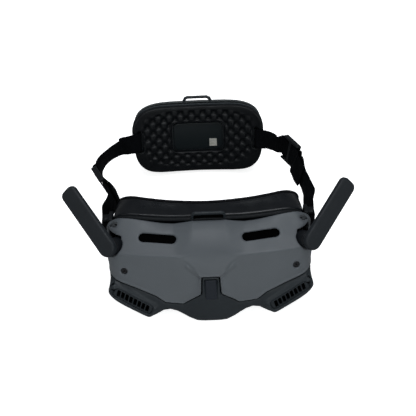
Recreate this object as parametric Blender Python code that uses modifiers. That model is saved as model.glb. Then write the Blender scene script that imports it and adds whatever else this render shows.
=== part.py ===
"""FPV video goggles on a battery headband, standing on a table with the antennas open.

Frame: +X to the wearer's left, +Y from the front of the goggles towards the battery, +Z up.
The origin lies on the flat keel under the lower housing, on the centre plane.
All sizes below are millimetres; points are turned into metres where a mesh is made.
"""

import math

import bmesh
import bpy
from mathutils import Matrix, Vector

MM = 0.001
GAP = 0.35  # between pieces that rest on each other

# Front casing, in the centre plane: (y, z) from below the keel to above the top edge
PROFILE = [(-48.5, -2), (-50.5, 3), (-47, 24), (-29, 60), (0, 73), (4.5, 75)]
LEVELS = [-2, 3, 13, 24, 33, 42, 51, 60, 64, 68, 72, 75]
HALF_WIDTH = 83
CORNER_START = 74  # where the front begins to turn into the side
SAG, SAG_AT = 6, 70  # the front lies SAG further back at SAG_AT from the centre plane
WALL = 2.2
BODY_DEPTH = 30  # how far back the envelope is drawn before it is cut off
REAR_EDGE = 1  # rear edge of the top cover on the centre plane

# Raised centre band: (z, half width, width of the slope beside it)
BAND_HEIGHT = 1.8
BAND = [(-2, 12.5, 12), (28, 8.2, 10), (42, 7.4, 6), (60, 13, 5), (75, 16.5, 5)]

# Half outlines seen from the front, (x, z), from the top centre round to the bottom centre
FRONT_OUTLINE = [
    (0, 73), (62, 73), (72, 71.6), (79, 68.2), (84, 63), (86, 60), (86, 31), (82, 19.5),
    (68.5, 10.4), (58, 4.4), (53, 3.2), (48, 5), (40.5, 10.4), (35, 11.6), (29.5, 9.8), (20, 3.3),
    (13, 0), (0, 0),
]
REAR_OUTLINE = [
    (0, 71.8), (30, 71.8), (62, 71.8), (72, 70.3), (78.5, 66.8), (81.8, 61), (81.8, 48),
    (81.8, 36), (78, 27.5), (68, 16.5), (57, 6.5), (50, 5.5), (41, 12.3), (30, 12.3), (16, 3.5),
    (0, 2.5),
]
# Line between the grey cover and the black lower housing, from the side to the centre
SPLIT = [
    (95, 41), (80.7, 38.7), (63, 33.5), (47.5, 27.2), (39, 21.3), (24.4, 20.2), (8.2, 28),
    (7.2, 41.8), (0, 41.8),
]

# Rounded pods that hold the air outlets
POD_INNER, POD_OUTER, POD_RADIUS = (50, -39.5, 15), (75, -31.5, 28), 9.5
GRILLE_X, GRILLE_HEIGHT, GRILLE_DOWN = 66.7, 7.0, math.radians(20)
GRILLE_SLOTS, GRILLE_PITCH = 8, 3.88

# Air intakes in the top slope
INTAKE_AT, INTAKE_LENGTH, INTAKE_WIDTH = (43.4, 66), 31.5, 7.6

SCREW_AT, SCREW_RADIUS = (72.2, 44.3), 2.4

# Antennas
PIVOT = Vector((82.0, -17.0, 60.0))
HINGE_TURN, HINGE_TILT = math.radians(35), math.radians(30)
SPREAD = {"left": math.radians(59), "right": math.radians(59)}
BLADE_LENGTH, BLADE_WIDTH, BLADE_THICK = 60.5, 16.6, 5.6
HINGE_RADIUS, HINGE_FACE, HINGE_DEPTH = 9.0, 3.0, 9.0
PIN_RADIUS = 1.9

# Eyepieces
EYE_X, EYE_Z = 32, 38
BARREL_RADIUS, BARREL_FRONT, BARREL_REAR = 17, -23, 13
EYE_TRAVEL = 4
KNOB_Y, KNOB_RADIUS = -9, 8
RAIL_UPPER, RAIL_LOWER, RAIL_RADIUS = (-4, 59), (6, 18.9), 1.4

# Main board and cooling
BOARD_FRONT = -27
FAN_Z, FAN_SIZE, FAN_BORE = 31, 26, 11.6
FAN_FRONT, FAN_REAR = -32.8, -27.35

# Face shield and cushion: the cushion's edge has one (x, y, z) for each point of REAR_OUTLINE
SHIELD_FRONT, SHIELD_SAG, FOAM_BASE = 14, 6, 7.5
RIM = [
    (0, 25.5, 63.5), (30, 27.5, 63.8), (52, 31.5, 64), (64, 35.5, 63), (70, 40.5, 59),
    (73, 45.5, 53), (74, 49, 45), (73, 50.5, 36), (69.5, 49, 27), (62, 46, 18.5), (52, 41.5, 12.5),
    (43, 37, 9.5), (32, 33, 9), (22, 29.5, 12.5), (12, 27, 21), (0, 25.5, 31),
]

# Strap
STRAP_WIDTH, STRAP_THICK = 22, 1.4
ANCHOR_BAR = (88.7, 14)
ANCHOR_Z = 50
# From the goggles to the battery: x, y, z, then how far the webbing leans outwards and backwards
STRAP_LINES = {
    "left": [
        (91.0, 33, 48.9, 12, 0), (92.0, 48, 46.9, 24, 0), (91.7, 61, 45.4, 14, 0),
        (90.4, 74, 43.9, 11, 0), (89.3, 85, 42.8, 17, 0), (88.2, 96, 41.9, 20, 0),
        (86.3, 107, 41.0, 20, 0), (82.8, 118.6, 40.0, 12, 0), (77.0, 126.2, 39.1, 5, 0),
        (69.5, 133.6, 38.2, 2, 4),
    ],
    "right": [
        (-91.0, 33, 50.0, 10, 0), (-87.5, 44, 49.3, 24, 0), (-86.2, 54, 48.6, 34, 0),
        (-88.6, 62.5, 47.7, 38, 0), (-93.6, 71.5, 46.5, 34, 0), (-98.4, 81.5, 45.2, 28, 0),
        (-101.4, 91.8, 43.9, 20, 0), (-102.3, 101, 42.7, 12, 0), (-101.2, 110.5, 41.5, 0, 0),
        (-97.2, 120.6, 40.1, -10, 0), (-91.4, 129.4, 39.1, -14, 0), (-84.4, 136.8, 38.2, -14, 6),
    ],
}
SLIDER_AT, SLIDER_LENGTH = {"left": 43, "right": 39}, 24

# Battery, in its own frame: x across, y through it away from the head, z up its face
BATTERY_AT = Vector((-7.3, 137.5, 3.9))
BATTERY_LEAN = math.radians(22)
BATTERY_HALF, BATTERY_HEIGHT, BATTERY_BEND = 65, 76, 10
BATTERY_FACE = [
    (0, 71), (20, 71), (42, 70.4), (51.8, 68), (58.6, 64), (62.6, 58), (64.5, 50), (65, 40),
    (64.4, 27), (62.2, 15.5), (57.5, 7), (49.5, 1.6), (38, 0), (20, 0), (0, 0),
]
PAD_THICK = 6
WINDOW = (-26, 26, 20.2, 50.2)  # x and z limits of the opening in the pad
STRAP_SLOT = (55.5, 34)

COLOURS = {
    "cover_grey": (0.075, 0.085, 0.095, 0.5, 0.0),
    "housing_black": (0.018, 0.021, 0.024, 0.5, 0.0),
    "rubber_black": (0.012, 0.013, 0.015, 0.75, 0.0),
    "foam_black": (0.014, 0.015, 0.018, 0.8, 0.0),
    "webbing_black": (0.008, 0.008, 0.009, 0.9, 0.0),
    "mesh_black": (0.004, 0.004, 0.004, 0.8, 0.0),
    "steel": (0.5, 0.5, 0.52, 0.3, 1.0),
    "board_green": (0.02, 0.09, 0.04, 0.5, 0.0),
    "glass": (0.2, 0.22, 0.25, 0.05, 0.0),
    "aluminium": (0.6, 0.6, 0.62, 0.35, 1.0),
    "cell_wrap": (0.05, 0.1, 0.25, 0.4, 0.0),
    "label_grey": (0.25, 0.25, 0.23, 0.6, 0.0),
    "light_pipe": (0.6, 0.62, 0.6, 0.3, 0.0),
}

for old in list(bpy.data.objects):
    bpy.data.objects.remove(old)
PARTS = bpy.data.collections.new("fpv_goggles")
CUTTERS = bpy.data.collections.new("cutters")
for made in (PARTS, CUTTERS):
    bpy.context.scene.collection.children.link(made)


# ---------------------------------------------------------------- outlines and numbers

def between(table, at, column=1):
    """The value in a column of a table whose first column rises, at a value of that column."""
    for low, high in zip(table, table[1:]):
        if at <= high[0]:
            share = (at - low[0]) / (high[0] - low[0])
            return low[column] + (high[column] - low[column]) * share
    return table[-1][column]


def mirrored(half):
    """A closed outline from the right half of it, given from the top centre to the bottom centre."""
    return half + [(-x, z) for x, z in reversed(half) if x > 0]


def inset(outline, distance, closed=True):
    """A clockwise outline moved inwards, or an open line moved to its right, by a distance."""
    count, moved = len(outline), []
    for i, point in enumerate(outline):
        before = outline[i - 1] if closed or i else outline[0]
        after = outline[(i + 1) % count] if closed or i < count - 1 else outline[-1]
        sides = []
        for a, b in ((before, point), (point, after)):
            along = Vector((b[0] - a[0], b[1] - a[1]))
            if along.length > 1e-9:
                along.normalize()
                sides.append(Vector((along.y, -along.x)))
        normal = sum(sides, Vector((0, 0))).normalized()
        reach = distance / max(0.35, normal.dot(sides[0]))
        moved.append((point[0] + normal.x * reach, point[1] + normal.y * reach))
    return moved


def pill(length, width, steps=8):
    """A stadium outline centred on the origin, along x."""
    radius, straight = width / 2, length / 2 - width / 2
    points = []
    for end, start in ((straight, -90), (-straight, 90)):
        for i in range(steps + 1):
            angle = math.radians(start + 180 * i / steps)
            points.append((end + radius * math.cos(angle), radius * math.sin(angle)))
    return points


def rounded(width, height, radius, steps=5, centre=(0, 0)):
    """A rectangle with round corners."""
    points = []
    corners = ((1, 1, 0), (-1, 1, 90), (-1, -1, 180), (1, -1, 270))
    for sx, sy, start in corners:
        cx, cy = sx * (width / 2 - radius), sy * (height / 2 - radius)
        for i in range(steps + 1):
            angle = math.radians(start + 90 * i / steps)
            points.append((
                centre[0] + cx + radius * math.cos(angle),
                centre[1] + cy + radius * math.sin(angle),
            ))
    return points


def smooth(points, per_span):
    """Points along a Catmull-Rom curve through the given vectors."""
    line = [points[0] * 2 - points[1], *points, points[-1] * 2 - points[-2]]
    result = []
    for a, b, c, d in zip(line, line[1:], line[2:], line[3:]):
        for step in range(per_span):
            t = step / per_span
            result.append(0.5 * (
                2 * b + (c - a) * t + (2 * a - 5 * b + 4 * c - d) * t ** 2
                + (3 * b - a - 3 * c + d) * t ** 3
            ))
    return result + [points[-1].copy()]


# ---------------------------------------------------------------- making objects

def material_of(name):
    found = bpy.data.materials.get(name)
    if found:
        return found
    red, green, blue, roughness, metallic = COLOURS[name]
    made = bpy.data.materials.new(name)
    made.use_nodes = True
    shader = made.node_tree.nodes["Principled BSDF"]
    shader.inputs["Base Color"].default_value = (red, green, blue, 1)
    shader.inputs["Roughness"].default_value = roughness
    shader.inputs["Metallic"].default_value = metallic
    return made


def link(obj, material):
    """Puts an object with the parts, or with the cutters if it has no material."""
    if material:
        PARTS.objects.link(obj)
        obj.data.materials.append(material_of(material))
    else:
        CUTTERS.objects.link(obj)
        obj.hide_render = True
        obj.display_type = "WIRE"
    return obj


def mesh_of(name, points, faces, material=None):
    mesh = bpy.data.meshes.new(name)
    mesh.from_pydata([Vector(p) * MM for p in points], [], faces)
    work = bmesh.new()
    work.from_mesh(mesh)
    bmesh.ops.recalc_face_normals(work, faces=work.faces)
    work.to_mesh(mesh)
    work.free()
    return link(bpy.data.objects.new(name, mesh), material)


def loft(name, sections, material=None):
    """A solid through closed sections that all have the same number of points."""
    count = len(sections[0])
    points = [p for section in sections for p in section]
    faces = [list(range(count)), list(range(len(points) - count, len(points)))]
    for row in range(len(sections) - 1):
        for i in range(count):
            j = (i + 1) % count
            a, b = row * count, (row + 1) * count
            faces.append([a + i, a + j, b + j, b + i])
    return mesh_of(name, points, faces, material)


def ring_loft(name, loops, material=None):
    """A ring-shaped solid whose skin runs through closed loops and back to the first one."""
    count = len(loops[0])
    points = [p for loop in loops for p in loop]
    faces = []
    for row in range(len(loops)):
        a, b = row * count, (row + 1) % len(loops) * count
        for i in range(count):
            j = (i + 1) % count
            faces.append([a + i, a + j, b + j, b + i])
    return mesh_of(name, points, faces, material)


def place(obj, matrix):
    """Moves an object's points by a matrix whose translation is in millimetres."""
    metres = matrix.copy()
    metres.translation = metres.translation * MM
    obj.data.transform(metres)
    return obj


def plate(name, outlines, thickness, matrix, material=None):
    """A flat piece from closed outlines, the first outside and the rest holes, by a matrix.

    The outlines lie in the matrix's XY plane, and the thickness is centred on it.
    """
    curve = bpy.data.curves.new(name, "CURVE")
    curve.dimensions = "2D"
    curve.fill_mode = "BOTH"
    curve.extrude = thickness / 2 * MM
    for outline in outlines:
        spline = curve.splines.new("POLY")
        spline.points.add(len(outline) - 1)
        for point, (x, y) in zip(spline.points, outline):
            point.co = (x * MM, y * MM, 0, 1)
        spline.use_cyclic_u = True
    flat = bpy.data.objects.new(name, curve)
    CUTTERS.objects.link(flat)
    bpy.context.view_layer.update()
    mesh = bpy.data.meshes.new_from_object(flat.evaluated_get(
        bpy.context.evaluated_depsgraph_get()))
    bpy.data.objects.remove(flat)
    work = bmesh.new()
    work.from_mesh(mesh)
    bmesh.ops.remove_doubles(work, verts=work.verts, dist=1e-6)
    bmesh.ops.recalc_face_normals(work, faces=work.faces)
    work.to_mesh(mesh)
    work.free()
    return place(link(bpy.data.objects.new(name, mesh), material), matrix)


def axes(origin, x, y, z):
    """A matrix from an origin and three unit vectors."""
    matrix = Matrix((x, y, z)).transposed().to_4x4()
    matrix.translation = origin
    return matrix


UP = Vector((0, 0, 1))
FRONT_VIEW = axes(Vector((0, 0, 0)), Vector((1, 0, 0)), UP, Vector((0, -1, 0)))


def front_view(y):
    """Maps an outline (x, z) to the plane at that y."""
    return Matrix.Translation((0, y, 0)) @ FRONT_VIEW


def cylinder(name, start, end, radius, material=None, sides=32):
    start, end = Vector(start), Vector(end)
    work = bmesh.new()
    bmesh.ops.create_cone(
        work, cap_ends=True, segments=sides, radius1=radius * MM, radius2=radius * MM,
        depth=(end - start).length * MM,
    )
    mesh = bpy.data.meshes.new(name)
    work.to_mesh(mesh)
    work.free()
    turn = UP.rotation_difference(end - start).to_matrix().to_4x4()
    turn.translation = (start + end) / 2
    return place(link(bpy.data.objects.new(name, mesh), material), turn)


def block(name, low, high, material=None):
    low, high = Vector(low), Vector(high)
    work = bmesh.new()
    bmesh.ops.create_cube(work, size=1)
    mesh = bpy.data.meshes.new(name)
    work.to_mesh(mesh)
    work.free()
    for vertex in mesh.vertices:
        for k in range(3):
            middle, size = (low[k] + high[k]) / 2, high[k] - low[k]
            vertex.co[k] = (middle + vertex.co[k] * size) * MM
    return link(bpy.data.objects.new(name, mesh), material)


def combine(obj, other, operation="DIFFERENCE"):
    """Cuts, joins or intersects an object with a helper, and keeps the result as its mesh."""
    modifier = obj.modifiers.new(operation.lower(), "BOOLEAN")
    modifier.operation = operation
    modifier.object = other
    modifier.solver = "EXACT"
    return applied(obj)


def bevel(obj, width, segments=2, angle=35):
    modifier = obj.modifiers.new("edges", "BEVEL")
    modifier.width = width * MM
    modifier.segments = segments
    modifier.limit_method = "ANGLE"
    modifier.angle_limit = math.radians(angle)
    return applied(obj)


def applied(obj):
    bpy.context.view_layer.update()
    graph = bpy.context.evaluated_depsgraph_get()
    mesh = bpy.data.meshes.new_from_object(obj.evaluated_get(graph))
    obj.modifiers.clear()
    obj.data = mesh
    return obj


def joined(obj, others):
    for other in others:
        combine(obj, other, "UNION")
    return obj


def cut(obj, others):
    for other in others:
        combine(obj, other)
    return obj


def sides():
    """Each side's name and its sign of x. The wearer looks along -Y, so +X is the left."""
    return (("left", 1), ("right", -1))


def flip(point, sign):
    return Vector((point[0] * sign, point[1], point[2]))


# ---------------------------------------------------------------- the casing's shape

def front_y(x, z, profile, band_height):
    """How far forward the casing's front lies at a place seen from the front."""
    side = abs(x)
    y = between([(q, p) for p, q in profile], z) + SAG * (side / SAG_AT) ** 2
    half, slope = between(BAND, z, 1), between(BAND, z, 2)
    y -= band_height * min(1, max(0, (half + slope - side) / slope))
    if side > CORNER_START:
        radius = HALF_WIDTH - CORNER_START
        across = min(side - CORNER_START, radius)
        y += radius - math.sqrt(max(0, radius ** 2 - across ** 2))
    return y


def on_front(x, z):
    """A frame on the casing's front: x sideways, y up the surface, z out of it."""
    def point(across, up):
        return Vector((across, front_y(across, up, PROFILE, 0), up))
    along = (point(x + 1, z) - point(x - 1, z)).normalized()
    up = (point(x, z + 0.5) - point(x, z - 0.5)).normalized()
    normal = along.cross(up).normalized()
    return axes(point(x, z), along, normal.cross(along), normal)


def stations(z, half_width):
    """Where a section of the casing has points, from the centre to the side."""
    half, slope = between(BAND, z, 1), between(BAND, z, 2)
    corner = [CORNER_START + (half_width - CORNER_START) * s for s in (0, 0.4, 0.7, 0.9, 1)]
    return [0, half, half + slope, 34, 48, 62, *corner]


def envelope(name, distance):
    """The casing as one solid, or its hollow when drawn a distance further in."""
    profile = PROFILE
    if distance:
        profile = [(p, q) for q, p in inset([(q, p) for p, q in PROFILE], -distance, False)]
        profile[0] = (profile[0][0], PROFILE[0][1])
        profile[-1] = (profile[-1][0], PROFILE[-1][1] + distance)
    half_width = HALF_WIDTH - distance
    sections = []
    for z in LEVELS:
        across = stations(z, half_width)
        outline = [-x for x in reversed(across)] + across[1:]
        scale = HALF_WIDTH / half_width
        front = [
            Vector((x, front_y(x * scale, z, profile, 0 if distance else BAND_HEIGHT), z))
            for x in outline
        ]
        back = [Vector((half_width, BODY_DEPTH, z)), Vector((-half_width, BODY_DEPTH, z))]
        sections.append(front + back)
    return loft(name, sections)


def capsule(name, start, end, radius):
    """A cylinder with round ends."""
    body = cylinder(name, start, end, radius, sides=18)
    for point in (start, end):
        work = bmesh.new()
        bmesh.ops.create_uvsphere(work, u_segments=18, v_segments=9, radius=radius * MM)
        mesh = bpy.data.meshes.new("ball")
        work.to_mesh(mesh)
        work.free()
        ball = link(bpy.data.objects.new("ball", mesh), None)
        place(ball, Matrix.Translation(point))
        combine(body, ball, "UNION")
    return body


def casing_solid(name, distance):
    """The envelope with its pods, trimmed to the outline seen from the front."""
    solid = envelope(name, distance)
    for _, sign in sides():
        start, end = flip(POD_INNER, sign), flip(POD_OUTER, sign)
        joined(solid, [capsule("pod", start, end, POD_RADIUS - distance)])
    outline = mirrored(FRONT_OUTLINE)
    trim = plate("trim", [inset(outline, distance) if distance else outline], 200, front_view(0))
    return combine(solid, trim, "INTERSECT")


def region_behind(edge, sag):
    """A helper that fills everything behind the curve y = edge + sag * (x / SAG_AT) ** 2."""
    across = [-98 + 7 * i for i in range(29)]
    outline = [(x, edge + sag * (x / SAG_AT) ** 2) for x in across] + [(98, 95), (-98, 95)]
    return plate("behind", [outline], 200, Matrix.Identity(4))


def split_region(shift):
    """A helper that fills everything above the line where the grey cover ends."""
    line = inset(SPLIT, shift, False) if shift else SPLIT
    line[-1] = (0, line[-1][1])
    line[0] = (SPLIT[0][0], line[0][1])
    whole = line + [(-x, z) for x, z in reversed(line[:-1])]
    return plate("above_split", [whole + [(-95, 120), (95, 120)]], 220, front_view(0))


def hinge_axes(sign):
    """Hinge axis, sideways direction and upward direction of an antenna's plane."""
    turn, tilt = HINGE_TURN, HINGE_TILT
    axis = Vector((
        math.sin(turn) * math.cos(tilt), -math.cos(turn) * math.cos(tilt), math.sin(tilt)))
    out = Vector((math.cos(turn), math.sin(turn), 0))
    up = axis.cross(out)
    if up.z < 0:
        up = -up
    return flip(axis, sign), flip(out, sign), flip(up, sign)


def finished(obj, material):
    """Turns a helper into a part that is shown."""
    for holder in obj.users_collection:
        holder.objects.unlink(obj)
    obj.hide_render = False
    obj.display_type = "TEXTURED"
    return link(obj, material)


def make_casing():
    """The casing's shell, split into the grey cover and the black lower housing."""
    cover = casing_solid("front_cover", 0)
    combine(cover, casing_solid("hollow", WALL))
    combine(cover, region_behind(REAR_EDGE, SAG))
    lower = finished(bpy.data.objects.new("lower_housing", cover.data.copy()), "housing_black")
    finished(cover, "cover_grey")
    combine(cover, split_region(0), "INTERSECT")
    combine(lower, split_region(-GAP))
    return cover, lower


def make_cover_details(cover):
    """Ears, intake slots, screw holes, hinge notches and side openings of the grey cover."""
    for side, sign in sides():
        ear = [(72, 8.6), (72, -3), (80, -3.5), (87, 2.5), (87.5, 6), (84, 8.6)]
        hole = [(82.4 + x, 4.4 + y) for x, y in pill(5.6, 2.6, 5)]
        outline = [[(x * sign, y) for x, y in points] for points in (ear, hole)]
        lean = Matrix.Translation((0, 0, 62.5)) @ Matrix.Rotation(math.radians(-14), 4, "X")
        wedge = plate("ear", outline, 3.2, lean)
        joined(cover, [wedge])
        axis, _, _ = hinge_axes(sign)
        pivot = flip(PIVOT, sign)
        notch = cylinder(
            "notch", pivot - axis * (HINGE_DEPTH + 6), pivot + axis * 16, HINGE_RADIUS + 0.4)
        slope = on_front(INTAKE_AT[0] * sign, INTAKE_AT[1])
        intake = plate("intake", [pill(INTAKE_LENGTH, INTAKE_WIDTH)], 8, slope)
        screw_at = on_front(SCREW_AT[0] * sign, SCREW_AT[1])
        point, normal = screw_at.translation, screw_at.to_3x3() @ UP
        screw = cylinder("screw_hole", point - normal * 8, point + normal * 8, SCREW_RADIUS + 0.4)
        cut(cover, [notch, intake, screw])
        low, high = (-9.5, 42), (6.5, 61)
        opening = block(
            "side_opening", (min(sign * 70, sign * 95), low[0], low[1]),
            (max(sign * 70, sign * 95), high[0], high[1]))
        combine(cover, opening)
        mesh_slope = slope @ Matrix.Translation((0, 0, -WALL - 0.95))
        holes = [
            [(3.1 * i + x, y) for x, y in ((-1, -3), (1, -3), (1, 3), (-1, 3))]
            for i in range(-4, 5)
        ]
        plate(f"intake_mesh_{side}", [rounded(34.5, 10, 4), *holes], 1.0, mesh_slope, "mesh_black")
        head = cylinder(
            f"cover_screw_{side}", point - normal * 6.5, point - normal * 1.0, SCREW_RADIUS,
            "steel", 24)
        combine(head, cylinder("drive", point - normal * 2.6, point + normal * 2, 1.1, sides=6))


def make_board_bosses(cover, lower):
    """Short posts inside the casing that the main board stands on."""
    for _, sign in sides():
        for piece, x, z, front in ((cover, 46, 46, -32.2), (lower, 46, 19, -44)):
            boss = cylinder("boss", (x * sign, front, z), (x * sign, BOARD_FRONT - GAP, z), 2.4,
                            sides=16)
            combine(piece, boss, "UNION")


def make_lower_details(lower):
    """Grille windows, knob slots, trim recess and keel of the lower housing."""
    for side, sign in sides():
        at = grille_frame(sign)
        length = GRILLE_SLOTS * GRILLE_PITCH + 1.5
        window = plate("window", [rounded(length, GRILLE_HEIGHT, 2.6)], 20,
                       at @ Matrix.Translation((0, 0, 12)))
        pocket = plate("pocket", [rounded(length + 3.7, GRILLE_HEIGHT + 2.7, 3.5)], 1.9,
                       at @ Matrix.Translation((0, 0, 4.7)))
        x_low, x_high = sorted(((EYE_X - 13) * sign, (EYE_X + 13) * sign))
        slot = block("knob_slot", (x_low, KNOB_Y - 9, -5), (x_high, KNOB_Y + 8.8, 16))
        axis, _, _ = hinge_axes(sign)
        pivot = flip(PIVOT, sign)
        notch = cylinder(
            "notch", pivot - axis * (HINGE_DEPTH + 6), pivot + axis * 16, HINGE_RADIUS + 0.4)
        cut(lower, [window, pocket, slot, notch])
        make_grille(side, at, length)


def grille_frame(sign):
    """On the pod's axis: x along it, z out through the middle of the outlet window."""
    inner, outer = Vector(POD_INNER), Vector(POD_OUTER)
    axis = (outer - inner).normalized()
    centre = inner + (outer - inner) * (GRILLE_X - inner.x) / (outer.x - inner.x)
    axis.x *= sign
    outwards = Vector((0, -math.cos(GRILLE_DOWN), -math.sin(GRILLE_DOWN)))
    outwards = (outwards - axis * outwards.dot(axis)).normalized()
    return axes(flip(centre, sign), axis, outwards.cross(axis), outwards)


def make_grille(side, at, length):
    """The louvred insert behind the outlet window, with upright fins."""
    turn = at.to_3x3()
    shear = UP.dot(turn.col[0]) / UP.dot(turn.col[1])
    half_width, half_height = (GRILLE_PITCH - 0.9) / 2, GRILLE_HEIGHT / 2 - 0.7
    slots = []
    for i in range(GRILLE_SLOTS):
        middle = GRILLE_PITCH * (i - (GRILLE_SLOTS - 1) / 2)
        slots.append([
            (middle + x + y * shear, y)
            for x, y in ((-half_width, -half_height), (half_width, -half_height),
                         (half_width, half_height), (-half_width, half_height))
        ])
    plate(f"outlet_grille_{side}", [rounded(length + 3, GRILLE_HEIGHT + 2, 3.2, 4), *slots], 1.2,
          at @ Matrix.Translation((0, 0, 4.7)), "housing_black")


def strip(name, path, widths, width, thick, material):
    """Webbing: a flat band swept along a path, with its width direction given at each point."""
    sections = []
    for i, point in enumerate(path):
        along = path[min(i + 1, len(path) - 1)] - path[max(i - 1, 0)]
        along.normalize()
        across = (widths[i] - along * widths[i].dot(along)).normalized()
        normal = along.cross(across)
        a, b = across * width / 2, normal * thick / 2
        sections.append([point - a - b, point + a - b, point + a + b, point - a + b])
    return loft(name, sections, material)


def turned(name, levels, matrix, material=None, sides=32):
    """A round solid from (radius, height) levels along the matrix's Z axis."""
    sections = []
    for radius, height in levels:
        sections.append([
            matrix @ Vector((
                radius * math.cos(math.tau * i / sides),
                radius * math.sin(math.tau * i / sides), height))
            for i in range(sides)
        ])
    return loft(name, sections, material)


def tube(name, outer, inner, low, high, matrix, material, sides=32):
    corners = ((outer, low), (outer, high), (inner, high), (inner, low))
    loops = [
        [matrix @ Vector((r * math.cos(math.tau * i / sides),
                          r * math.sin(math.tau * i / sides), h)) for i in range(sides)]
        for r, h in corners
    ]
    return ring_loft(name, loops, material)


def along_y(x, z):
    """A frame at y = 0 whose Z axis points along +Y."""
    return axes(Vector((x, 0, z)), Vector((1, 0, 0)), Vector((0, 0, -1)), Vector((0, 1, 0)))


# ---------------------------------------------------------------- pieces of the goggles

def make_nose_trim(lower):
    """A narrow inlaid panel in the centre band of the lower housing."""
    at = on_front(0, 32.2) @ Matrix.Translation((0, 0, BAND_HEIGHT * 0.9))
    cut(lower, [plate("recess", [rounded(10.6, 18.6, 1.4)], 4, at @ Matrix.Translation((0, 0, 0.2)))])
    plate("nose_trim", [rounded(9.9, 17.9, 1.2)], 1.0, at @ Matrix.Translation((0, 0, -0.93)),
          "housing_black")


def make_rear_housing():
    outline = mirrored(REAR_OUTLINE)
    tube_piece = plate("rear_housing", [outline, inset(outline, WALL)], 60,
                       front_view(20), "housing_black")
    combine(tube_piece, region_behind(REAR_EDGE + GAP, SAG), "INTERSECT")
    combine(tube_piece, region_behind(SHIELD_FRONT, SHIELD_SAG))
    for name, sign in (("back_button", 1), ("link_button", -1)):
        x, y, z = 35.5 * sign, 6.4, 12.3
        combine(tube_piece, cylinder("hole", (x, y, z - 3), (x, y, z + 5), 2.4, sides=24))
        turned(name, [(2.0, -1.0), (2.05, 2.5), (2.9, 2.6), (2.9, 3.1)],
               Matrix.Translation((x, y, z)), "rubber_black", 24)
    return tube_piece


def make_face_parts():
    """The shield round the eyes and the foam cushion on its edge."""
    outer = mirrored(REAR_OUTLINE)
    rim = mirrored([(x, z) for x, _, z in RIM])
    depth = [y for _, y, _ in RIM]
    depth = depth + list(reversed(depth[1:-1]))

    def loop(outline, offset, y_of):
        shape = inset(outline, offset) if offset else outline
        return [Vector((x, y_of(i, x), z)) for i, (x, z) in enumerate(shape)]

    def at_housing(_, x):
        return SHIELD_FRONT + GAP + SHIELD_SAG * (x / SAG_AT) ** 2

    def at_rim(back):
        return lambda i, _: depth[i] - back

    base = FOAM_BASE
    ring_loft("face_shield", [
        loop(outer, 0.5, at_housing), loop(rim, -4.4, at_rim(base)),
        loop(rim, 2.6, at_rim(base)), loop(outer, 3.0, at_housing),
    ], "rubber_black")
    ring_loft("face_foam", [
        loop(rim, 2.6, at_rim(base - 0.5)), loop(rim, 5.0, at_rim(3)), loop(rim, 3.4, at_rim(0.6)),
        loop(rim, 0, at_rim(0)), loop(rim, -3.6, at_rim(0.6)), loop(rim, -5.2, at_rim(3)),
        loop(rim, -4.4, at_rim(base - 0.5)),
    ], "foam_black")


def make_lens_panel():
    """The panel round the eyepieces, with posts on its front that hold the guide rails."""
    outline = inset(mirrored(REAR_OUTLINE), WALL + GAP)
    panel = plate("lens_panel", [outline], 1.6, front_view(11), "housing_black")
    for _, sign in sides():
        hole = pill(BARREL_RADIUS * 2 + 1.4 + EYE_TRAVEL * 2, BARREL_RADIUS * 2 + 1.4, 12)
        at = front_view(11) @ Matrix.Translation((EYE_X * sign, EYE_Z, 0))
        combine(panel, plate("eye_hole", [hole], 9, at))
        for (y, z), x in ((RAIL_UPPER, 54.5), (RAIL_LOWER, 47.5)):
            a, b = sorted(((x - 1.8) * sign, (x + 1.8) * sign))
            post = block("post", (a, y - 2.8, z - 2.8), (b, 11, z + 2.8))
            combine(post, cylinder("bore", (a - 2, y, z), (b + 2, y, z), RAIL_RADIUS + 0.3,
                                   sides=16))
            combine(panel, post, "UNION")
    turned("proximity_window", [(2.6, 12.1), (2.6, 13.0)], along_y(0, 52), "glass", 20)
    return panel


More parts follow.
